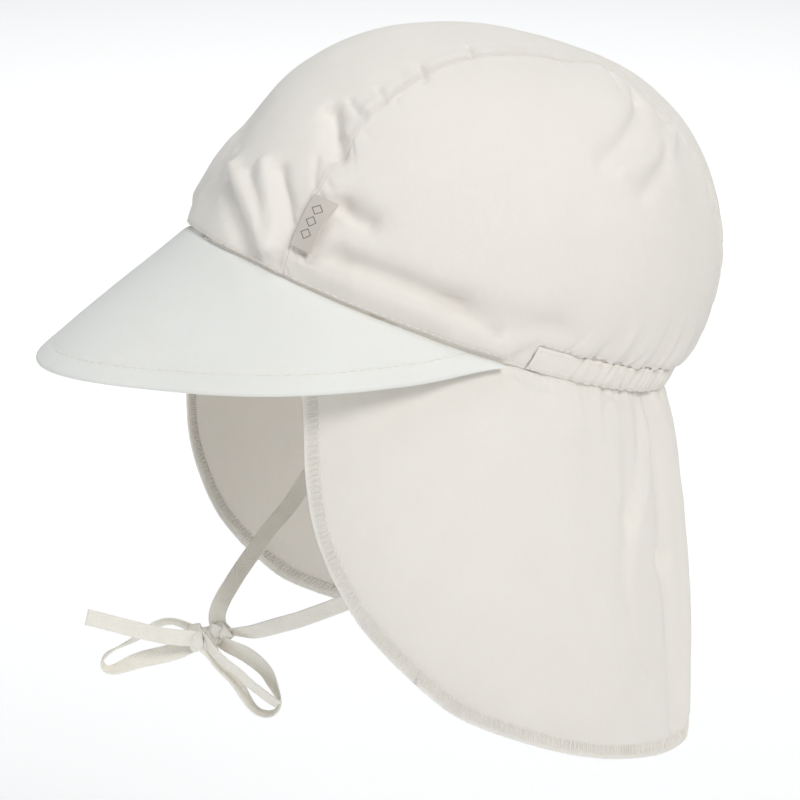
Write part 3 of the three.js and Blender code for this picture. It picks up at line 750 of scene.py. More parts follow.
class Sewing:
    """A Geometry Nodes tree whose inputs are named sizes."""

    def __init__(self, name, sizes):
        self.tree = bpy.data.node_groups.new(name, "GeometryNodeTree")
        self.tree.interface.new_socket(name="Row", in_out="INPUT", socket_type="NodeSocketGeometry")
        self.tree.interface.new_socket(name="Sewn", in_out="OUTPUT", socket_type="NodeSocketGeometry")
        kinds = [(size, "NodeSocketFloat") for size in sizes]
        kinds += [("Seed", "NodeSocketInt"), ("Thread", "NodeSocketMaterial")]
        self.keys = {}
        for label, kind in kinds:
            socket = self.tree.interface.new_socket(name=label, in_out="INPUT", socket_type=kind)
            self.keys[label] = socket.identifier
        self.start = self.tree.nodes.new("NodeGroupInput")

    def given(self, name):
        return self.start.outputs[name]

    def times(self, name, factor):
        return self.node("ShaderNodeMath", {"operation": "MULTIPLY"}, self.given(name), factor)

    def node(self, kind, settings, *values, output=0):
        made = self.tree.nodes.new(kind)
        for key, value in settings.items():
            setattr(made, key, value)
        for socket, value in zip(made.inputs, values):
            if isinstance(value, bpy.types.NodeSocket):
                self.tree.links.new(value, socket)
            elif value is not None:
                socket.default_value = value
        return made.outputs[output]

    def end(self, geometry):
        realized = self.node("GeometryNodeRealizeInstances", {}, geometry)
        smooth = self.node("GeometryNodeSetShadeSmooth", {}, realized)
        coloured = self.node("GeometryNodeSetMaterial", {}, smooth, None, self.given("Thread"))
        finish = self.tree.nodes.new("NodeGroupOutput")
        self.tree.links.new(coloured, finish.inputs[0])

    def sew(self, name, runs, **values):
        """A plain mesh of the thread along runs, each a row of points and the way that they face."""
        points = np.concatenate([run[0] for run in runs]) * MM
        facing = np.concatenate([run[1] for run in runs])
        edges, first = [], 0
        for run, _ in runs:
            edges += [(first + k, first + k + 1) for k in range(len(run) - 1)]
            first += len(run)
        row = bpy.data.meshes.new(name + "_row")
        row.from_pydata(points.tolist(), edges, [])
        row.attributes.new("facing", "FLOAT_VECTOR", "POINT").data.foreach_set("vector", facing.ravel())
        piece = bpy.data.objects.new(name, row)
        bpy.context.collection.objects.link(piece)
        sewing = piece.modifiers.new("sewing", "NODES")
        sewing.node_group = self.tree
        sewing[self.keys["Thread"]] = thread_finish.material
        for label, value in values.items():
            sewing[self.keys[label]] = value
        seen = piece.evaluated_get(bpy.context.evaluated_depsgraph_get())
        mesh = bpy.data.meshes.new_from_object(seen)
        piece.modifiers.remove(sewing)
        piece.data = mesh
        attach(piece, "root")
        return piece


stitches = Sewing("row_of_stitches", ("Pitch", "Length", "Width", "Lean", "Wander"))
pitch, lean, wander = (stitches.given(name) for name in ("Pitch", "Lean", "Wander"))
row = stitches.node("GeometryNodeMeshToCurve", {}, stitches.given("Row"))
row = stitches.node("GeometryNodeResampleCurve", {"mode": "LENGTH"}, row, None, None, pitch)
facing = stitches.node("GeometryNodeInputNamedAttribute", {"data_type": "FLOAT_VECTOR"}, "facing")
heading = stitches.node("GeometryNodeInputTangent", {})
flat = stitches.node("FunctionNodeAlignRotationToVector", {"axis": "Z"}, None, None, facing)
along = {"axis": "X", "pivot_axis": "Z"}
flat = stitches.node("FunctionNodeAlignRotationToVector", along, flat, None, heading)
strayed = stitches.node("FunctionNodeRandomValue", {"data_type": "FLOAT"}, None, None,
                        stitches.times("Wander", -1.0), wander, None, None, None, None,
                        stitches.given("Seed"), output=1)
lean = stitches.node("ShaderNodeMath", {"operation": "ADD"}, lean, strayed)
turned = stitches.node("ShaderNodeCombineXYZ", {}, 0.0, 0.0, lean)
turned = stitches.node("FunctionNodeEulerToRotation", {}, turned)
flat = stitches.node("FunctionNodeRotateRotation", {"rotation_space": "LOCAL"}, flat, turned)
half_wide = stitches.times("Width", 0.5)
shape = stitches.node("ShaderNodeCombineXYZ", {}, stitches.times("Length", 0.5), half_wide, half_wide)
stitch = stitches.node("GeometryNodeMeshUVSphere", {}, 8, 6, 1.0)
laid = stitches.node("GeometryNodeInstanceOnPoints", {}, row, None, stitch, None, None, flat, shape)
stitches.end(laid)

threads = Sewing("run_of_thread", ("Width", "Wander"))
run = threads.node("GeometryNodeMeshToCurve", {}, threads.given("Row"))
offset = threads.node("FunctionNodeRandomValue", {"data_type": "FLOAT_VECTOR"},
                      threads.times("Wander", -1.0), threads.given("Wander"), None, None, None,
                      None, None, None, threads.given("Seed"))
run = threads.node("GeometryNodeSetPosition", {}, run, None, None, offset)
round_section = {"mode": "RADIUS"}
section = threads.node("GeometryNodeCurvePrimitiveCircle", round_section, 5, None, None, None,
                       threads.times("Width", 0.5))
threads.end(threads.node("GeometryNodeCurveToMesh", {}, run, section, True))


def cloth_tree(*grids):
    """The surface that stitches are laid on, from grids of points."""
    points, faces = [], []
    for grid in grids:
        columns, rows = grid.shape[:2]
        index = np.arange(columns * rows).reshape(columns, rows) + len(points)
        quads = np.stack([index[:-1, :-1], index[1:, :-1], index[1:, 1:], index[:-1, 1:]], -1)
        faces += quads.reshape(-1, 4).tolist()
        points += grid.reshape(-1, 3).tolist()
    return BVHTree.FromPolygons(points, faces)


def lay_on(tree, points, away, lift):
    """Points moved onto the cloth, with the way that it faces there. away is roughly outwards."""
    places, facings = [], []
    for point, out in zip(points, away):
        place, normal, _, _ = tree.find_nearest(Vector(point))
        normal = normal if normal.dot(Vector(out)) > 0 else -normal
        places.append(place + normal * lift)
        facings.append(normal)
    return np.array(places), np.array(facings)


# The crown's own row runs round the front, just above its rim
crown_tree = cloth_tree(*crown_grids)
rim_stitch_height = 1.5
rim_stitch_end = casing_start - 1.5
angle = np.linspace(-rim_stitch_end, rim_stitch_end, 500)
level = 0 * angle + rim_stitch_height / crown_level
rim_row = lay_on(crown_tree, crown_point(angle, level), outward(angle), 0.06)
stitches.sew("rim_stitches", [rim_row], Pitch=0.0029, Length=0.0023, Width=0.0004, Wander=0.08, Seed=3)


# Peak: two layers of cotton, coloured a cooler white than the crown, turned out, stitched 7.5 mm in
# from the edge, and sewn into the front of the seam round the head opening. It thins towards its two
# ends.
peak_reach = 57.5
peak_edge_drop = 6.2
peak_belly = 1.2
peak_thickness = 2.0
peak_end = 88.0
peak_taper_start = 72
peak_stitch = 7.5
peak_rounding = 1.3
stitch_groove = 0.22
stitch_groove_width = 0.55
edge_puff = 0.12

# angle, reach as a share, drop of the edge as a share
peak_sections = [
    (0, 1, 0.92),
    (22, 0.69, 0.98),
    (44, 0.49, 0.85),
    (66, 0.235, 0.82),
    (88, 0.05, 0.7),
]
peak_share = smooth_through(peak_sections, 1)
peak_drop_share = smooth_through(peak_sections, 2)


def peak_point(angle, v):
    """A point of the peak, from its seam at 0 to its edge at 1."""
    angle, v = np.broadcast_arrays(np.asarray(angle, float), np.asarray(v, float))
    side = np.abs(angle)
    edge = rim(angle) + outward(angle) * (peak_reach * peak_share(side))[..., None]
    edge[..., 2] = -peak_edge_drop * peak_drop_share(side)
    seam = rim(angle)
    seam[..., 2] -= seam_gap
    point = seam + (edge - seam) * v[..., None]
    point[..., 2] += peak_belly * peak_share(side) * 4 * v * (1 - v)
    return point


peak_columns = 300
peak_rows = 70
u = np.linspace(peak_end, -peak_end, peak_columns)
v = 1 - (1 - np.linspace(0, 1, peak_rows)) ** 1.6
base = peak_point(u[:, None], v[None, :])
normals = grid_normals(base)
gone_out = distance_along(base, 1)
to_edge = gone_out[:, -1:] - gone_out
tapered = peak_thickness * (1 - 0.7 * smooth_step(np.abs(u), peak_taper_start, peak_end))[:, None]
rounded = np.sqrt(np.clip(1 - (1 - to_edge / peak_rounding).clip(0) ** 2, 0.02, 1))
half_thick = tapered / 2 * rounded
middle = base - normals * (tapered / 2)[..., None]
stitched = -stitch_groove * np.exp(-(((to_edge - peak_stitch) / stitch_groove_width) ** 2))
puffed = edge_puff * np.sin(math.pi * np.clip(to_edge / peak_stitch, 0, 1))
seated = -0.5 * np.exp(-((gone_out / 1.0) ** 2))
bumps = 0.16 * lumpiness(base, 21.0, 2.0) + 0.05 * lumpiness(base, 5.0, 7.0)
half_thick = half_thick + stitched + puffed + seated
top = middle + normals * (half_thick + bumps)[..., None]
bottom = middle - normals * (half_thick - bumps)[..., None]
peak_colour = (0.86, 0.87, 0.845, 1)
peak_shade = (0.83, 0.83, 0.8, 1)
peak_cotton = cotton("peak_cotton", peak_colour, peak_shade, crumple=0.07, slub=0.05)
peak = cloth_piece("sun_peak", top, bottom, peak_cotton)
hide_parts("peak")
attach(peak, "root")


def inwards(grid, distances, wanted):
    """The points of a grid's columns at a distance from its last row."""
    found = []
    for column, gone in zip(grid, distances):
        if gone[0] > wanted + 1:
            found.append([np.interp(-wanted, -gone, column[:, k]) for k in range(3)])
    return np.array(found)


peak_runs = []
for surface, way in ((top, 1), (bottom, -1)):
    line = inwards(surface, to_edge, peak_stitch)
    peak_runs.append(lay_on(cloth_tree(surface), line, [(0, 0, way)] * len(line), 0.05))
stitches.sew("peak_stitches", peak_runs, Pitch=0.0031, Length=0.0025, Width=0.00042, Wander=0.06,
             Seed=5)


# Casing: a tunnel of the same poplin round the nape, drawn up on elastic, so it stands in small
# upright gathers between its two rows of stitches.
casing_thickness = 2.2
casing_bulge = 0.8
casing_overlap = 0.25
casing_inset = 0.3
rib_lean = 0.35
rib_depth = 0.75
rib_variation = 0.45
casing_columns = 900
casing_rows = 14
crown_axis = unit(crown_top)


def casing_point(angle, height, out):
    angle, height, out = np.broadcast_arrays(angle, height, out)
    return rim(angle) + crown_axis * height[..., None] + outward(angle) * out[..., None]


u = np.linspace(casing_start, 360 - casing_start, casing_columns)[:, None]
v = np.linspace(0, 1, casing_rows)[None, :]
phase = gather_phase(u)
share = (u - casing_start) / (360 - 2 * casing_start)
gathered = smooth_step(np.minimum(share, 1 - share), 0.03, 0.1)
lean = rib_lean * np.sin(phase * 1.7)
rib = np.abs(np.cos(math.pi * (phase + lean * (v - 0.5))))
depth = rib_depth + rib_variation * np.sin(phase * 2.3)
out = casing_bulge * np.sin(math.pi * v) ** 0.6 - casing_inset + gathered * depth * (rib - 0.75)
edge_wave = 0.5 * gathered * np.cos(2 * math.pi * phase)
height = v * (casing_height + casing_overlap) + edge_wave * (v - 0.5)
outer = casing_point(u, height, out)
inner = casing_point(u, height, 0 * out - casing_thickness)
inner += (outer - inner) * 0.35 * (np.abs(2 * v - 1) ** 8)[..., None]
casing = cloth_piece("casing_cloth", outer, inner, poplin)
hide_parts("elastic_casing")
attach(casing, "root")

# Two rows of stitches hold the elastic in, and one closes each end
casing_tree = cloth_tree(outer)
casing_runs = []
angle = np.linspace(casing_start + 0.6, 360 - casing_start - 0.6, 1400)
for height in (1.0, casing_height - 0.9):
    place = casing_point(angle, height + 0 * angle, 1.0 + 0 * angle)
    casing_runs.append(lay_on(casing_tree, place, outward(angle), 0.05))
for end_angle in (casing_start + 0.9, 360 - casing_start - 0.9):
    height = np.linspace(0.8, casing_height - 0.8, 30)
    place = casing_point(end_angle + 0 * height, height, 1.0 + 0 * height)
    casing_runs.append(lay_on(casing_tree, place, outward(end_angle + 0 * height), 0.1))
stitches.sew("casing_stitches", casing_runs, Pitch=0.0021, Length=0.0017, Width=0.00038, Wander=0.12,
             Seed=7)


# Neck flap: one wide piece of thinner poplin, sewn in under the peak and the casing. It hangs from
# the rim in soft folds that start at the gathers.
flap_start = 35.0
flap_length = 132.0
flap_flare = 12.0
flap_ruffles = 9
flap_ruffle_depth = 1.2
flap_ruffle_end = 0.4
flap_step = 5.0
flap_tuck = 80.0
flap_tuck_room = 1.2
flap_inset = 0.6
nape_curve = 2.7

# angle, drop, flare
flap_front_edge = [
    (35, 0, 0),
    (40, 0.09, 0.4),
    (43.5, 0.27, 0.9),
    (45, 0.46, 1.15),
    (48, 0.62, 1.2),
    (56, 0.785, 1.2),
    (67.5, 0.9, 1.2),
]

# share of the hem, angle, drop, flare
flap_hem = [
    (0, 67.5, 0.9, 1.2),
    (0.12, 76, 0.96, 1.15),
    (0.33, 94, 0.995, 1.1),
    (0.47, 109, 1.005, 1.05),
    (0.63, 128, 1, 1),
    (0.8, 150, 0.99, 1),
    (1, 180, 1, 1),
]

# from angle, from drop, to angle, to drop, width and height as shares of the flap's length
flap_folds = [
    (138, 0.02, 134, 0.45, 0.035, -0.022),
    (134, 0.45, 140, 0.92, 0.035, -0.022),
    (146, 0.04, 146, 0.9, 0.035, 0.016),
    (124, 0.03, 120, 0.34, 0.03, -0.014),
    (-132, 0.03, -128, 0.7, 0.04, -0.02),
    (-158, 0.03, -160, 0.85, 0.04, -0.02),
    (170, 0.03, 172, 0.8, 0.04, -0.016),
]

# height, width towards the nape and away from it, how much is left at the far end, places
flap_creases = [
    (-1.9, 1.1, 4.5, 0.6, [(134, 0.01), (132.5, 0.05), (130.1, 0.101), (126.8, 0.18), (123.6, 0.262),
                           (120.8, 0.33), (118, 0.434), (116.5, 0.534), (120, 0.691), (126.7, 0.793)]),
    (1.1, 4.5, 1.2, 0.4, [(136, 0.03), (134.5, 0.08), (131.5, 0.15), (127, 0.26), (122.5, 0.36),
                          (119.5, 0.47), (119, 0.54)]),
    (-1.1, 1.2, 3.0, 0.3, [(124.6, 0.01), (118.8, 0.034), (115.9, 0.074), (115.3, 0.162), (116.1, 0.271),
                           (118.1, 0.345)]),
    (-0.8, 0.9, 1.2, 0.2, [(128.5, 0.01), (127.3, 0.06)]),
    (-0.8, 1.0, 1.3, 0.1, [(113, 0.01), (109.5, 0.046)]),
    (-0.8, 0.9, 1.1, 0.1, [(118, 0.005), (114.2, 0.035)]),
    (-0.9, 2.0, 2.6, 0.3, [(91.5, 0.028), (95.7, 0.056), (102.9, 0.036)]),
    (0.6, 3.5, 3.5, 0.5, [(97, 0.04), (101, 0.158), (103.9, 0.257)]),
    (-0.9, 6.0, 6.0, 0.3, [(82.5, 0.08), (79.3, 0.2), (75.8, 0.315), (70.5, 0.44)]),
    (-0.8, 1.2, 3.5, 0.5, [(-128, 0.01), (-124, 0.15), (-118, 0.4), (-120, 0.7)]),
    (0.8, 4.0, 2.0, 0.4, [(-132, 0.03), (-128, 0.2), (-122, 0.42)]),
    (-1.2, 1.5, 4.0, 0.5, [(152, 0.01), (154, 0.2), (158, 0.45), (156, 0.75)]),
    (1.0, 4.0, 2.0, 0.4, [(164, 0.02), (166, 0.2), (168, 0.5)]),
    (-1.2, 4.0, 1.5, 0.5, [(-172, 0.01), (-170, 0.25), (-166, 0.5), (-168, 0.8)]),
    (-0.9, 1.6, 3.0, 0.4, [(-146, 0.01), (-148, 0.2), (-152, 0.5)]),
    (-0.7, 2.0, 2.0, 0.2, [(-104, 0.02), (-108, 0.12)]),
    (0.5, 5.0, 5.0, 0.6, [(88, 0.93), (100, 0.9), (112, 0.95)]),
]

front_share = [(k / (len(flap_front_edge) - 1), *row) for k, row in enumerate(flap_front_edge)]
front_values = [smooth_through(front_share, column) for column in (1, 2, 3)]
hem_values = [smooth_through(flap_hem, column) for column in (1, 2, 3)]


def flap_place(u, v):
    """Angle, drop and flare inside the flap, blended between its four borders."""
    u, v = np.broadcast_arrays(np.asarray(u, float), np.asarray(v, float))
    end = flap_hem[-1]
    top = (flap_start + (nape - flap_start) * u, 0 * u, 0 * u)
    back = (nape + 0 * v, end[2] * v, end[3] * (1 - (1 - v) ** nape_curve))
    values = []
    for k in range(3):
        top_right = nape if k == 0 else 0
        corners = (1 - u) * (1 - v) * flap_front_edge[0][k] + u * (1 - v) * top_right
        corners = corners + (1 - u) * v * flap_hem[0][k + 1] + u * v * end[k + 1]
        borders = (1 - v) * top[k] + v * hem_values[k](u) + (1 - u) * front_values[k](v) + u * back[k]
        values.append(borders - corners)
    return values


def flap_at(angle, drop, flare, signed):
    """A point of the flap. Its top edge passes under the peak and meets the rim behind it."""
    beside = 1 - smooth_step(angle, flap_tuck, peak_end + flap_step)
    top_drop = seam_gap + (peak_thickness + flap_tuck_room) * beside
    share = np.clip((angle - casing_start) / (nape - casing_start), 0, 1)
    wave = np.sin(math.pi / 2 * flap_ruffles * share) ** 2
    starting = smooth_step(drop, 0, flap_ruffle_end / 4)
    ending = 1 - smooth_step(drop, flap_ruffle_end / 4, flap_ruffle_end)
    fold = fold_height(flap_folds, flap_length, signed, drop, crown_degree, flap_length)
    out = flare * flap_flare - flap_inset + fold + flap_ruffle_depth * wave * starting * ending
    point = rim(signed, out)
    point[..., 2] = rim(signed)[..., 2] - top_drop - drop * (flap_length - top_drop)
    return point


# How far the flap stands out at an angle and drop, read back from the blend
flap_u, flap_v = np.meshgrid(np.linspace(0, 1, 240), np.linspace(0, 1, 160), indexing="ij")
flap_known = flap_place(flap_u, flap_v)


def flap_chart(angle, drop):
    """The point of the flap nearest to a signed angle and a drop."""
    found = []
    for a, d in zip(np.atleast_1d(angle), np.atleast_1d(drop)):
        miss = ((flap_known[0] - abs(a)) / 100) ** 2 + (flap_known[1] - d) ** 2
        k = np.unravel_index(np.argmin(miss), miss.shape)
        found.append(flap_at(flap_known[0][k], flap_known[1][k], flap_known[2][k],
                             math.copysign(float(flap_known[0][k]), a)))
    return np.array(found)


flap_columns = 401
flap_rows = 110
across = np.linspace(0, 1, flap_columns)[:, None]
v = np.linspace(0, 1, flap_rows)[None, :]
u = np.where(across > 0.5, 2 - 2 * across, 2 * across)
angle, drop, flare = flap_place(u, v)
signed = np.where(across > 0.5, angle, -angle)
base = flap_at(angle, drop, flare, signed)
normals = grid_normals(base)
height = 0.35 * lumpiness(base, 24.0, 5.0) + 0.12 * lumpiness(base, 8.0, 9.0)
for crease in flap_creases:
    height += crease_height(base, normals, crease, flap_chart)
started = smooth_step(angle, casing_start - 2, casing_start + 8)
fall = distance_along(base, 1)
height += started * gather_waves(signed, fall, 0.4, 5.0, 0.6, 14)
height -= 0.5 * np.exp(-((fall / 1.2) ** 2))
flap_surface = base + normals * height[..., None]
flap_normals = grid_normals(flap_surface)
flap_colour = (0.875, 0.84, 0.79, 1)
flap_shade = (0.845, 0.805, 0.75, 1)
flap_cotton = cotton("flap_poplin", flap_colour, flap_shade, glow=0.45)
flap = cloth_piece("neck_flap_cloth", flap_surface, flap_surface - flap_normals * cloth, flap_cotton)
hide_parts("neck_flap")
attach(flap, "root")


# Overlock: the flap's raw edge is bound by thread that runs to and fro over it, from its right side
# round the edge to its wrong side, and a needle row along the inner turns holds it down.
overlock_width = 4.6
overlock_pitch = 1.0
overlock_slant = 0.5
overlock_lift = 0.12
needle_row_gap = 0.3
edge_skip = 3


def along_edge(grid):
    """The flap's free edge: down one front edge, along the hem and up the other front edge."""
    sides = grid[0, edge_skip:-1], grid[:, -1], grid[-1, edge_skip:-1][::-1]
    return np.concatenate(sides)


edge = along_edge(flap_surface)
facing = along_edge(flap_normals)
gone = distance_along(edge, 0)
turns = int(gone[-1] / overlock_pitch)
even = np.linspace(0, gone[-1], 2 * turns)
edge = np.stack([np.interp(even, gone, edge[:, k]) for k in range(3)], -1)
facing = unit(np.stack([np.interp(even, gone, facing[:, k]) for k in range(3)], -1))
edge_way = unit(np.gradient(edge, axis=0))
inward = unit(np.cross(edge_way, facing))
flap_middle = flap_surface[flap_columns // 2, -9]
inward *= np.sign(np.dot(inward[turns], flap_middle - edge[turns]))
flap_tree = cloth_tree(flap_surface)

# share of the way in to the inner turns, twice over, and whether on the cloth's right or wrong side
overlock_stations = [(2.0, 1), (1.0, 1), (0.0, 0), (1.0, -1), (2.0, -1)]
over = []
for k in range(turns):
    returning = k % 2 == 1
    for share, side in overlock_stations[::-1] if returning else overlock_stations:
        i = min(2 * k + (1 if share > 1 and returning else 0), len(edge) - 1)
        if share == 0:
            over.append(edge[i] - inward[i] * overlock_lift - facing[i] * cloth / 2)
            continue
        reach = share / 2 * overlock_width
        point = edge[i] + inward[i] * reach + edge_way[i] * overlock_slant * share
        places, normals = lay_on(flap_tree, [point], [facing[i]], overlock_lift)
        over.append(places[0] if side > 0 else places[0] - normals[0] * (cloth + 2 * overlock_lift))
over = np.array(over)
overlock = threads.sew("flap_overlock", [(over, np.zeros_like(over))], Width=0.00042, Wander=0.00008,
                       Seed=13)
needle_line = lay_on(flap_tree, edge + inward * (overlock_width + needle_row_gap), facing, 0.06)
needle_row = stitches.sew("flap_needle_row", [needle_line], Pitch=0.0027, Length=0.0022,
                          Width=0.0004, Wander=0.1, Seed=17)

# The area of the flap's cut, taken from its own grid
corner, beside = flap_surface[:-1, :-1], flap_surface[1:, :-1]
opposite, below = flap_surface[1:, 1:], flap_surface[:-1, 1:]
flap_area = 0.0
for one, two in ((beside, opposite), (opposite, below)):
    flap_area += np.linalg.norm(np.cross(one - corner, two - corner), axis=-1).sum() / 2


# Label: a short greige satin ribbon, folded and caught in the near crown seam, printed with three
# plain diamonds.
label_length = 18.0
label_width = 7.5
label_thickness = 0.9
label_lift = 0.6
label_curl = 1.3
label_level = 0.13
diamond_places = (4.6, 9.0, 13.4)
diamond_size = 1.75
diamond_line = 0.22
ribbon_colour = (0.6, 0.555, 0.5, 1)
print_colour = (0.06, 0.07, 0.09, 1)

label_finish = Finish("greige_ribbon")
label_u, label_v = label_finish.cloth_map()
drawn = None
for place in diamond_places:
    off = (label_u - label_width / 2).size() * 0.9 + (label_v - place).size()
    line = (off - diamond_size).size().below(diamond_line)
    drawn = line if drawn is None else drawn.maths("MAXIMUM", drawn, line)
ribs = (label_v * 14.0).sine()
label_finish.feed("Base Color", label_finish.blend(drawn * 0.8, ribbon_colour, print_colour))
label_finish.feed("Roughness", 0.5 + ribs * 0.03)
label_finish.feed("Normal", label_finish.bump(0.6, MM, ribs * 0.05))
label_finish.feed("Sheen Weight", 0.1)

label_columns = 26
label_rows = 50
seam_front = 200
level = label_level + (np.linspace(-0.5, 0.5, label_rows) * label_length / crown_level)[None, :]
u = np.linspace(0, 1, label_columns)[:, None]
seam_angle = np.interp(level, left_seam[1][:seam_front], left_seam[0][:seam_front])
angle = seam_angle + (0.2 + u * label_width) / crown_degree
level = level + 0 * u
base = crown_point(angle, level)
normals = crown_facing(to_disc(angle, level))
gone = (level - level[:, :1]) * crown_level / label_length
curl = label_lift + label_curl * u**2 + 0.25 * np.sin(math.pi * gone)
round_off = np.sqrt(np.clip(1 - np.clip((u - 0.93) / 0.07, 0, 1) ** 2, 0.05, 1))
outer = base + normals * (curl + label_thickness / 2 * (1 + round_off))[..., None]
inner = base + normals * (curl + label_thickness / 2 * (1 - round_off))[..., None]
label = cloth_piece("folded_label", outer, inner, label_finish)
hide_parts("side_label")
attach(label, "root")


# Chin tapes: two narrow woven tapes, each sewn inside one end of the casing. They cross in a half
# knot below the chin, and each makes one loop and one free end of a bow.
tape_width = 6.0
tape_thickness = 0.8
tape_easing = 8
tape_points = 360
tape_around = 16
bow_turn = math.radians(66.4)
knot_place = np.array([0, -83.7, -110.8])
bow_right = np.array([math.cos(bow_turn), math.sin(bow_turn), 0])
bow_front = np.array([math.sin(bow_turn), -math.cos(bow_turn), 0])

# To the bow's right, out towards its front, up, and how far the tape turns edge-on, in degrees
chin_tie_left = [
    (5, -2, 0.8, 50), (10, -1.5, 0.9, 40), (15.8, 1, 2, 15), (23.2, 5, 5.4, 0),
    (32, 10, 9.9, 0), (41.8, 14.5, 15.1, 0), (49.4, 18.8, 19.9, 0), (68.4, 22.5, 30.8, 0),
    (88.5, 23.5, 55.8, 8), (102.7, 22.2, 79.8, 16), (109.6, 21.1, 97.8, 24), (110.9, 20.6, 107.3, 24),
]
chin_tie_right = [
    (3.5, -2, 1.5, 0), (2.4, -5, 5, 0), (3.6, -8.1, 9, 0), (6.5, -13.8, 12.9, 0),
    (13.6, -24.5, 21.1, 0), (21.1, -35.4, 28.6, 0), (29.4, -46.7, 36.1, 0),
    (46.8, -69.5, 60.8, 8), (55.3, -87.5, 80.8, 16), (59.4, -93.8, 97.8, 24), (60.6, -94.5, 107.3, 24),
]
free_end_left = [
    (-4.4, 3, 0, 0), (-8.8, 4.5, 0.9, 0), (-15.1, 4.5, 1.7, 0), (-21.3, 4, 2.9, 0),
    (-27.5, 3.9, 4.4, 0), (-33.7, 4, 6.3, 0), (-38.9, 4, 7.7, 0), (-42.3, 4, 8.5, 0),
]
free_end_right = [
    (-1.3, 3, -0.7, 45), (1.9, 4.5, -3.9, 45), (5.7, 5, -7.8, 45), (10.5, 5, -12.2, 45),
    (15.6, 5, -17, 45), (20.5, 5, -20.7, 45), (24, 5, -23.3, 45),
]
loop_left = [
    (-5.6, -0.6, -3, 30), (-10.6, -0.3, -5.4, 25), (-16.5, -0.5, -7.2, 25), (-23.2, -1, -8.9, 35),
    (-29.6, -0.9, -11.1, 55), (-34.8, -1, -13, 80), (-37.6, -1.5, -12.4, 90), (-38, -2, -9.6, 90),
    (-35.8, -2, -7, 85), (-31.3, -3, -5.1, 70), (-26.4, -3.5, -2.4, 60), (-21.8, -4, 0.8, 55),
    (-18, -4.5, 3.2, 50), (-13.7, -4.5, 4.3, 50), (-9.2, -3, 3.4, 45), (-4.2, -1, 1.5, 40),
]
loop_right = [
    (2.5, 0.5, -0.7, 30), (8, 1.6, -3.4, 20), (12.1, 2, -5.6, 10), (16.2, 2, -8.8, 15),
    (20.1, 1, -13, 30), (22.5, 1, -18.2, 50), (24.2, 1, -23.4, 70), (23.8, 1, -27.1, 90),
    (21, 0.5, -29.2, 90), (16.8, 0, -28.6, 85), (14, 0, -25.6, 75), (11.9, 0, -21.5, 65),
    (9.5, 0, -17, 60), (6.4, 0.4, -13.3, 55), (3, 0.8, -9.2, 50), (0, 1, -4.6, 45),
]

tape_colour = (0.9, 0.87, 0.8, 1)
tape_shade = (0.84, 0.805, 0.725, 1)
tape_finish = Finish("woven_tape")
tape_along, tape_across = tape_finish.cloth_map()
chevron = ((tape_along + (tape_across - tape_width / 2).size() * 0.9) * 6.5).sine()
tape_ribs = (tape_across * 9.0).sine()
tape_place = tape_finish.node("ShaderNodeTexCoord", {}, output=3)
tape_mottle = tape_finish.noise(tape_place, 240.0, 3.0)
tape_height = chevron * 0.022 + tape_ribs * 0.014 + tape_mottle * 0.06
tape_finish.feed("Normal", tape_finish.bump(1.0, MM, tape_height))
tape_tone = (tape_mottle * 0.7 + chevron * 0.05).within(0.15, 0.6)
tape_finish.feed("Base Color", tape_finish.blend(tape_tone, tape_shade, tape_colour))
tape_finish.feed("Roughness", 0.82 + tape_mottle * 0.08)
tape_finish.feed("Specular IOR Level", 0.25)
tape_finish.feed("Sheen Weight", 0.12)
tape_finish.translucent(0.25, 0.003)


def through_points(points, count):
    """A smooth line through points, at even distances, with the values that go with them."""
    between = 24
    points = np.array(points, float)
    before = np.concatenate([points[:1] * 2 - points[1:2], points, points[-1:] * 2 - points[-2:-1]])
    fine = []
    for k in range(len(points) - 1):
        p0, p1, p2, p3 = before[k:k + 4]
        t = np.linspace(0, 1, between, endpoint=k == len(points) - 2)[:, None]
        fine.append(0.5 * (2 * p1 + (p2 - p0) * t + (2 * p0 - 5 * p1 + 4 * p2 - p3) * t**2
                           + (3 * p1 - p0 - 3 * p2 + p3) * t**3))
    fine = np.concatenate(fine)
    steps = np.linalg.norm(np.diff(fine[:, :3], axis=0), axis=1)
    gone = np.concatenate([[0], np.cumsum(steps)])
    even = np.linspace(0, gone[-1], count)
    return np.stack([np.interp(even, gone, fine[:, k]) for k in range(fine.shape[1])], -1)


def tape_frame(route):
    """Places of a tape's points and the way that its width runs at each."""
    rows = np.array(route, float)
    places = knot_place + rows[:, :1] * bow_right + rows[:, 1:2] * bow_front + rows[:, 2:3] * [0, 0, 1]
    heading = unit(np.gradient(places, axis=0))
    side = unit(np.cross(heading, bow_front))
    turned = np.radians(rows[:, 3:4])
    lifted = np.cross(heading, side)
    return places, unit(side * np.cos(turned) + lifted * np.sin(turned))


def rounded_oblong(around, width, thickness, width_power, thickness_power):
    """Points round a flat section with rounded edges."""
    section = []
    for k in range(around):
        c, s = math.cos(2 * math.pi * k / around), math.sin(2 * math.pi * k / around)
        section.append((math.copysign(abs(c) ** width_power, c) * width / 2,
                        math.copysign(abs(s) ** thickness_power, s) * thickness / 2))
    return np.array(section)


tape_section = rounded_oblong(tape_around, tape_width, tape_thickness, 0.35, 0.55)


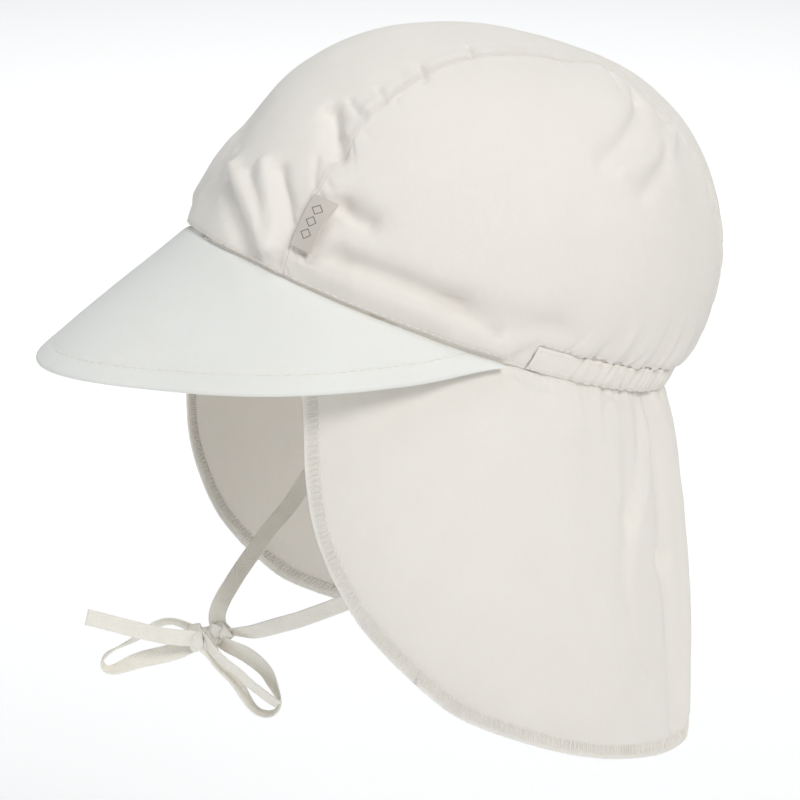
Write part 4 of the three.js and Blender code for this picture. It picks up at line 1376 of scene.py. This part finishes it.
def whole_tape(name, hanging, loop, end, nodes, seed):
    """One tape from the casing down, through the knot, round its loop and out to its free end."""
    places, sides = [], []
    for route, backwards in ((hanging, True), (loop, False), (end, False)):
        found = tape_frame(route)
        for place, side in zip(*(f[::-1] if backwards else f for f in found)):
            if sides and np.dot(side, sides[-1]) < 0:
                side = -side
            places.append(place)
            sides.append(side)
    line = through_points(np.concatenate([places, sides], axis=1), tape_points)
    for _ in range(tape_easing):
        line[1:-1] = (line[:-2] + 2 * line[1:-1] + line[2:]) / 4
    centre = line[:, :3]
    length = float(np.sum(np.linalg.norm(np.diff(centre, axis=0), axis=1)))
    heading = unit(np.gradient(centre, axis=0))
    side = line[:, 3:]
    side = unit(side - heading * np.sum(side * heading, axis=1, keepdims=True))
    face = np.cross(heading, side)
    gone = np.linspace(0, length, len(centre))
    wander = np.array([noise.noise(Vector((g / 9.0, seed, 0))) for g in gone])
    curl = np.array([noise.noise(Vector((g / 14.0, seed + 9, 0))) for g in gone])
    centre = centre + face * (0.5 * wander)[:, None]
    ring = []
    for x, y in tape_section:
        cupped = (0.5 * curl + 0.15) * (2 * x / tape_width) ** 2
        ring.append(centre + side * x + face * (y + cupped)[:, None])
    skin = np.stack(ring, axis=1)
    mesh = bpy.data.meshes.new(name)
    index = np.arange(tape_points * tape_around).reshape(tape_points, tape_around)
    turned = np.roll(index, -1, axis=1)
    faces = np.stack([index[:-1], turned[:-1], turned[1:], index[1:]], -1).reshape(-1, 4).tolist()
    faces += [index[0, ::-1].tolist(), index[-1].tolist()]
    mesh.from_pydata((skin.reshape(-1, 3) * MM).tolist(), [], faces)
    corners = np.zeros(len(mesh.loops), dtype=np.int32)
    mesh.loops.foreach_get("vertex_index", corners)
    spread = tape_section[:, 0] + tape_width / 2
    flat = np.stack([np.repeat(gone, tape_around), np.tile(spread, tape_points)], -1)
    mesh.uv_layers.new(name="cloth").data.foreach_set("uv", flat[corners].ravel())
    mesh.polygons.foreach_set("use_smooth", [len(p.vertices) == 4 for p in mesh.polygons])
    mesh.materials.append(tape_finish.material)
    mesh.validate()
    tape = bpy.data.objects.new(name, mesh)
    bpy.context.collection.objects.link(tape)
    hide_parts(*nodes)
    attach(tape, "root")
    return tape, centre, length


left_tape, left_line, left_length = whole_tape(
    "left_tape", chin_tie_left, loop_left, free_end_right,
    ("chin_tie_left", "bow_loop_left", "tie_end_right"), 1.0)
right_tape, right_line, right_length = whole_tape(
    "right_tape", chin_tie_right, loop_right, free_end_left,
    ("chin_tie_right", "bow_loop_right", "tie_end_left"), 5.0)

# Knot of the bow: the tapes' own turns round each other, drawn tight into a small lump.
band_wall = 0.9
band_turns = 64
band_around = 12
core_rings = 14
core_around = 24
core_half_wide = 7.6
core_half_deep = 2.9
core_half_high = 3.6
core_slope = 0.9

# to the right, front and up from the knot's place; half height and half depth; width; lean in degrees
knot_bands = [
    (-4.6, 0.3, -0.6, 4.6, 3.4, 5.0, 8),
    (0.6, 0.2, -0.9, 4.0, 3.1, 4.6, -14),
    (5.0, -0.2, 1.6, 3.2, 2.7, 4.4, 38),
    (2.2, 0.6, 2.4, 2.0, 2.6, 5.5, 74),
]
knot_points = []
knot_faces = []


def add_band(middle, half_up, half_front, width, lean):
    """A turn of tape pulled round the knot, with rounded edges and a slight crumple."""
    tilt = math.radians(lean)
    axis = bow_right * math.cos(tilt) + np.array([0, 0, 1.0]) * math.sin(tilt)
    rise_way = np.array([0, 0, 1.0]) * math.cos(tilt) - bow_right * math.sin(tilt)
    section = rounded_oblong(band_around, width, band_wall, 0.5, 0.7)
    start = len(knot_points)
    for i in range(band_turns):
        a = 2 * math.pi * i / band_turns
        squeeze = 1 + 0.05 * math.sin(3 * a + lean)
        spoke = rise_way * math.sin(a) * half_up * squeeze + bow_front * math.cos(a) * half_front * squeeze
        out = unit(spoke)
        for x, y in section:
            x *= 1 + 0.08 * math.sin(2 * a + 1)
            crumple = 0.18 * math.sin(2.2 * x + 2 * a) - 0.25 * (2 * x / width) ** 2
            knot_points.append(middle + spoke + out * (y + crumple) + axis * x)
    for i in range(band_turns):
        near = start + i * band_around
        far = start + (i + 1) % band_turns * band_around
        for k in range(band_around):
            n = (k + 1) % band_around
            knot_faces.append((near + k, far + k, far + n, near + n))


for right, front, up, half_up, half_front, width, lean in knot_bands:
    add_band(knot_place + bow_right * right + bow_front * front + np.array([0, 0, up]),
             half_up, half_front, width, lean)

# The core that the turns go round: a small lump, wide towards the loops
core_start = len(knot_points)
for i in range(core_rings + 1):
    a = math.pi * i / core_rings
    for k in range(core_around):
        b = 2 * math.pi * k / core_around
        rise = core_half_high * math.sin(a) * math.sin(b) + core_slope * math.cos(a)
        knot_points.append(knot_place + bow_right * core_half_wide * math.cos(a)
                           + bow_front * core_half_deep * math.sin(a) * math.cos(b)
                           + np.array([0, 0, rise]))
for i in range(core_rings):
    for k in range(core_around):
        n = (k + 1) % core_around
        a = core_start + i * core_around
        knot_faces.append((a + k, a + n, a + core_around + n, a + core_around + k))
mesh = bpy.data.meshes.new("knot_turns")
mesh.from_pydata((np.array(knot_points) * MM).tolist(), [], knot_faces)
mesh.polygons.foreach_set("use_smooth", [True] * len(mesh.polygons))
mesh.uv_layers.new(name="cloth")
mesh.materials.append(tape_finish.material)
build = bmesh.new()
build.from_mesh(mesh)
bmesh.ops.remove_doubles(build, verts=build.verts, dist=1e-6)
bmesh.ops.recalc_face_normals(build, faces=build.faces)
build.to_mesh(mesh)
build.free()
knot = bpy.data.objects.new("knot_turns", mesh)
bpy.context.collection.objects.link(knot)
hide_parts("bow_knot")
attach(knot, "root")

# The knot is listed with the left tape
tapes = [(left_tape, left_line, left_length, [knot]), (right_tape, right_line, right_length, [])]
for tape, line, length, pieces in tapes:
    tuple(line[0] * MM)
    length * MM
    (line[::3] * MM).tolist()
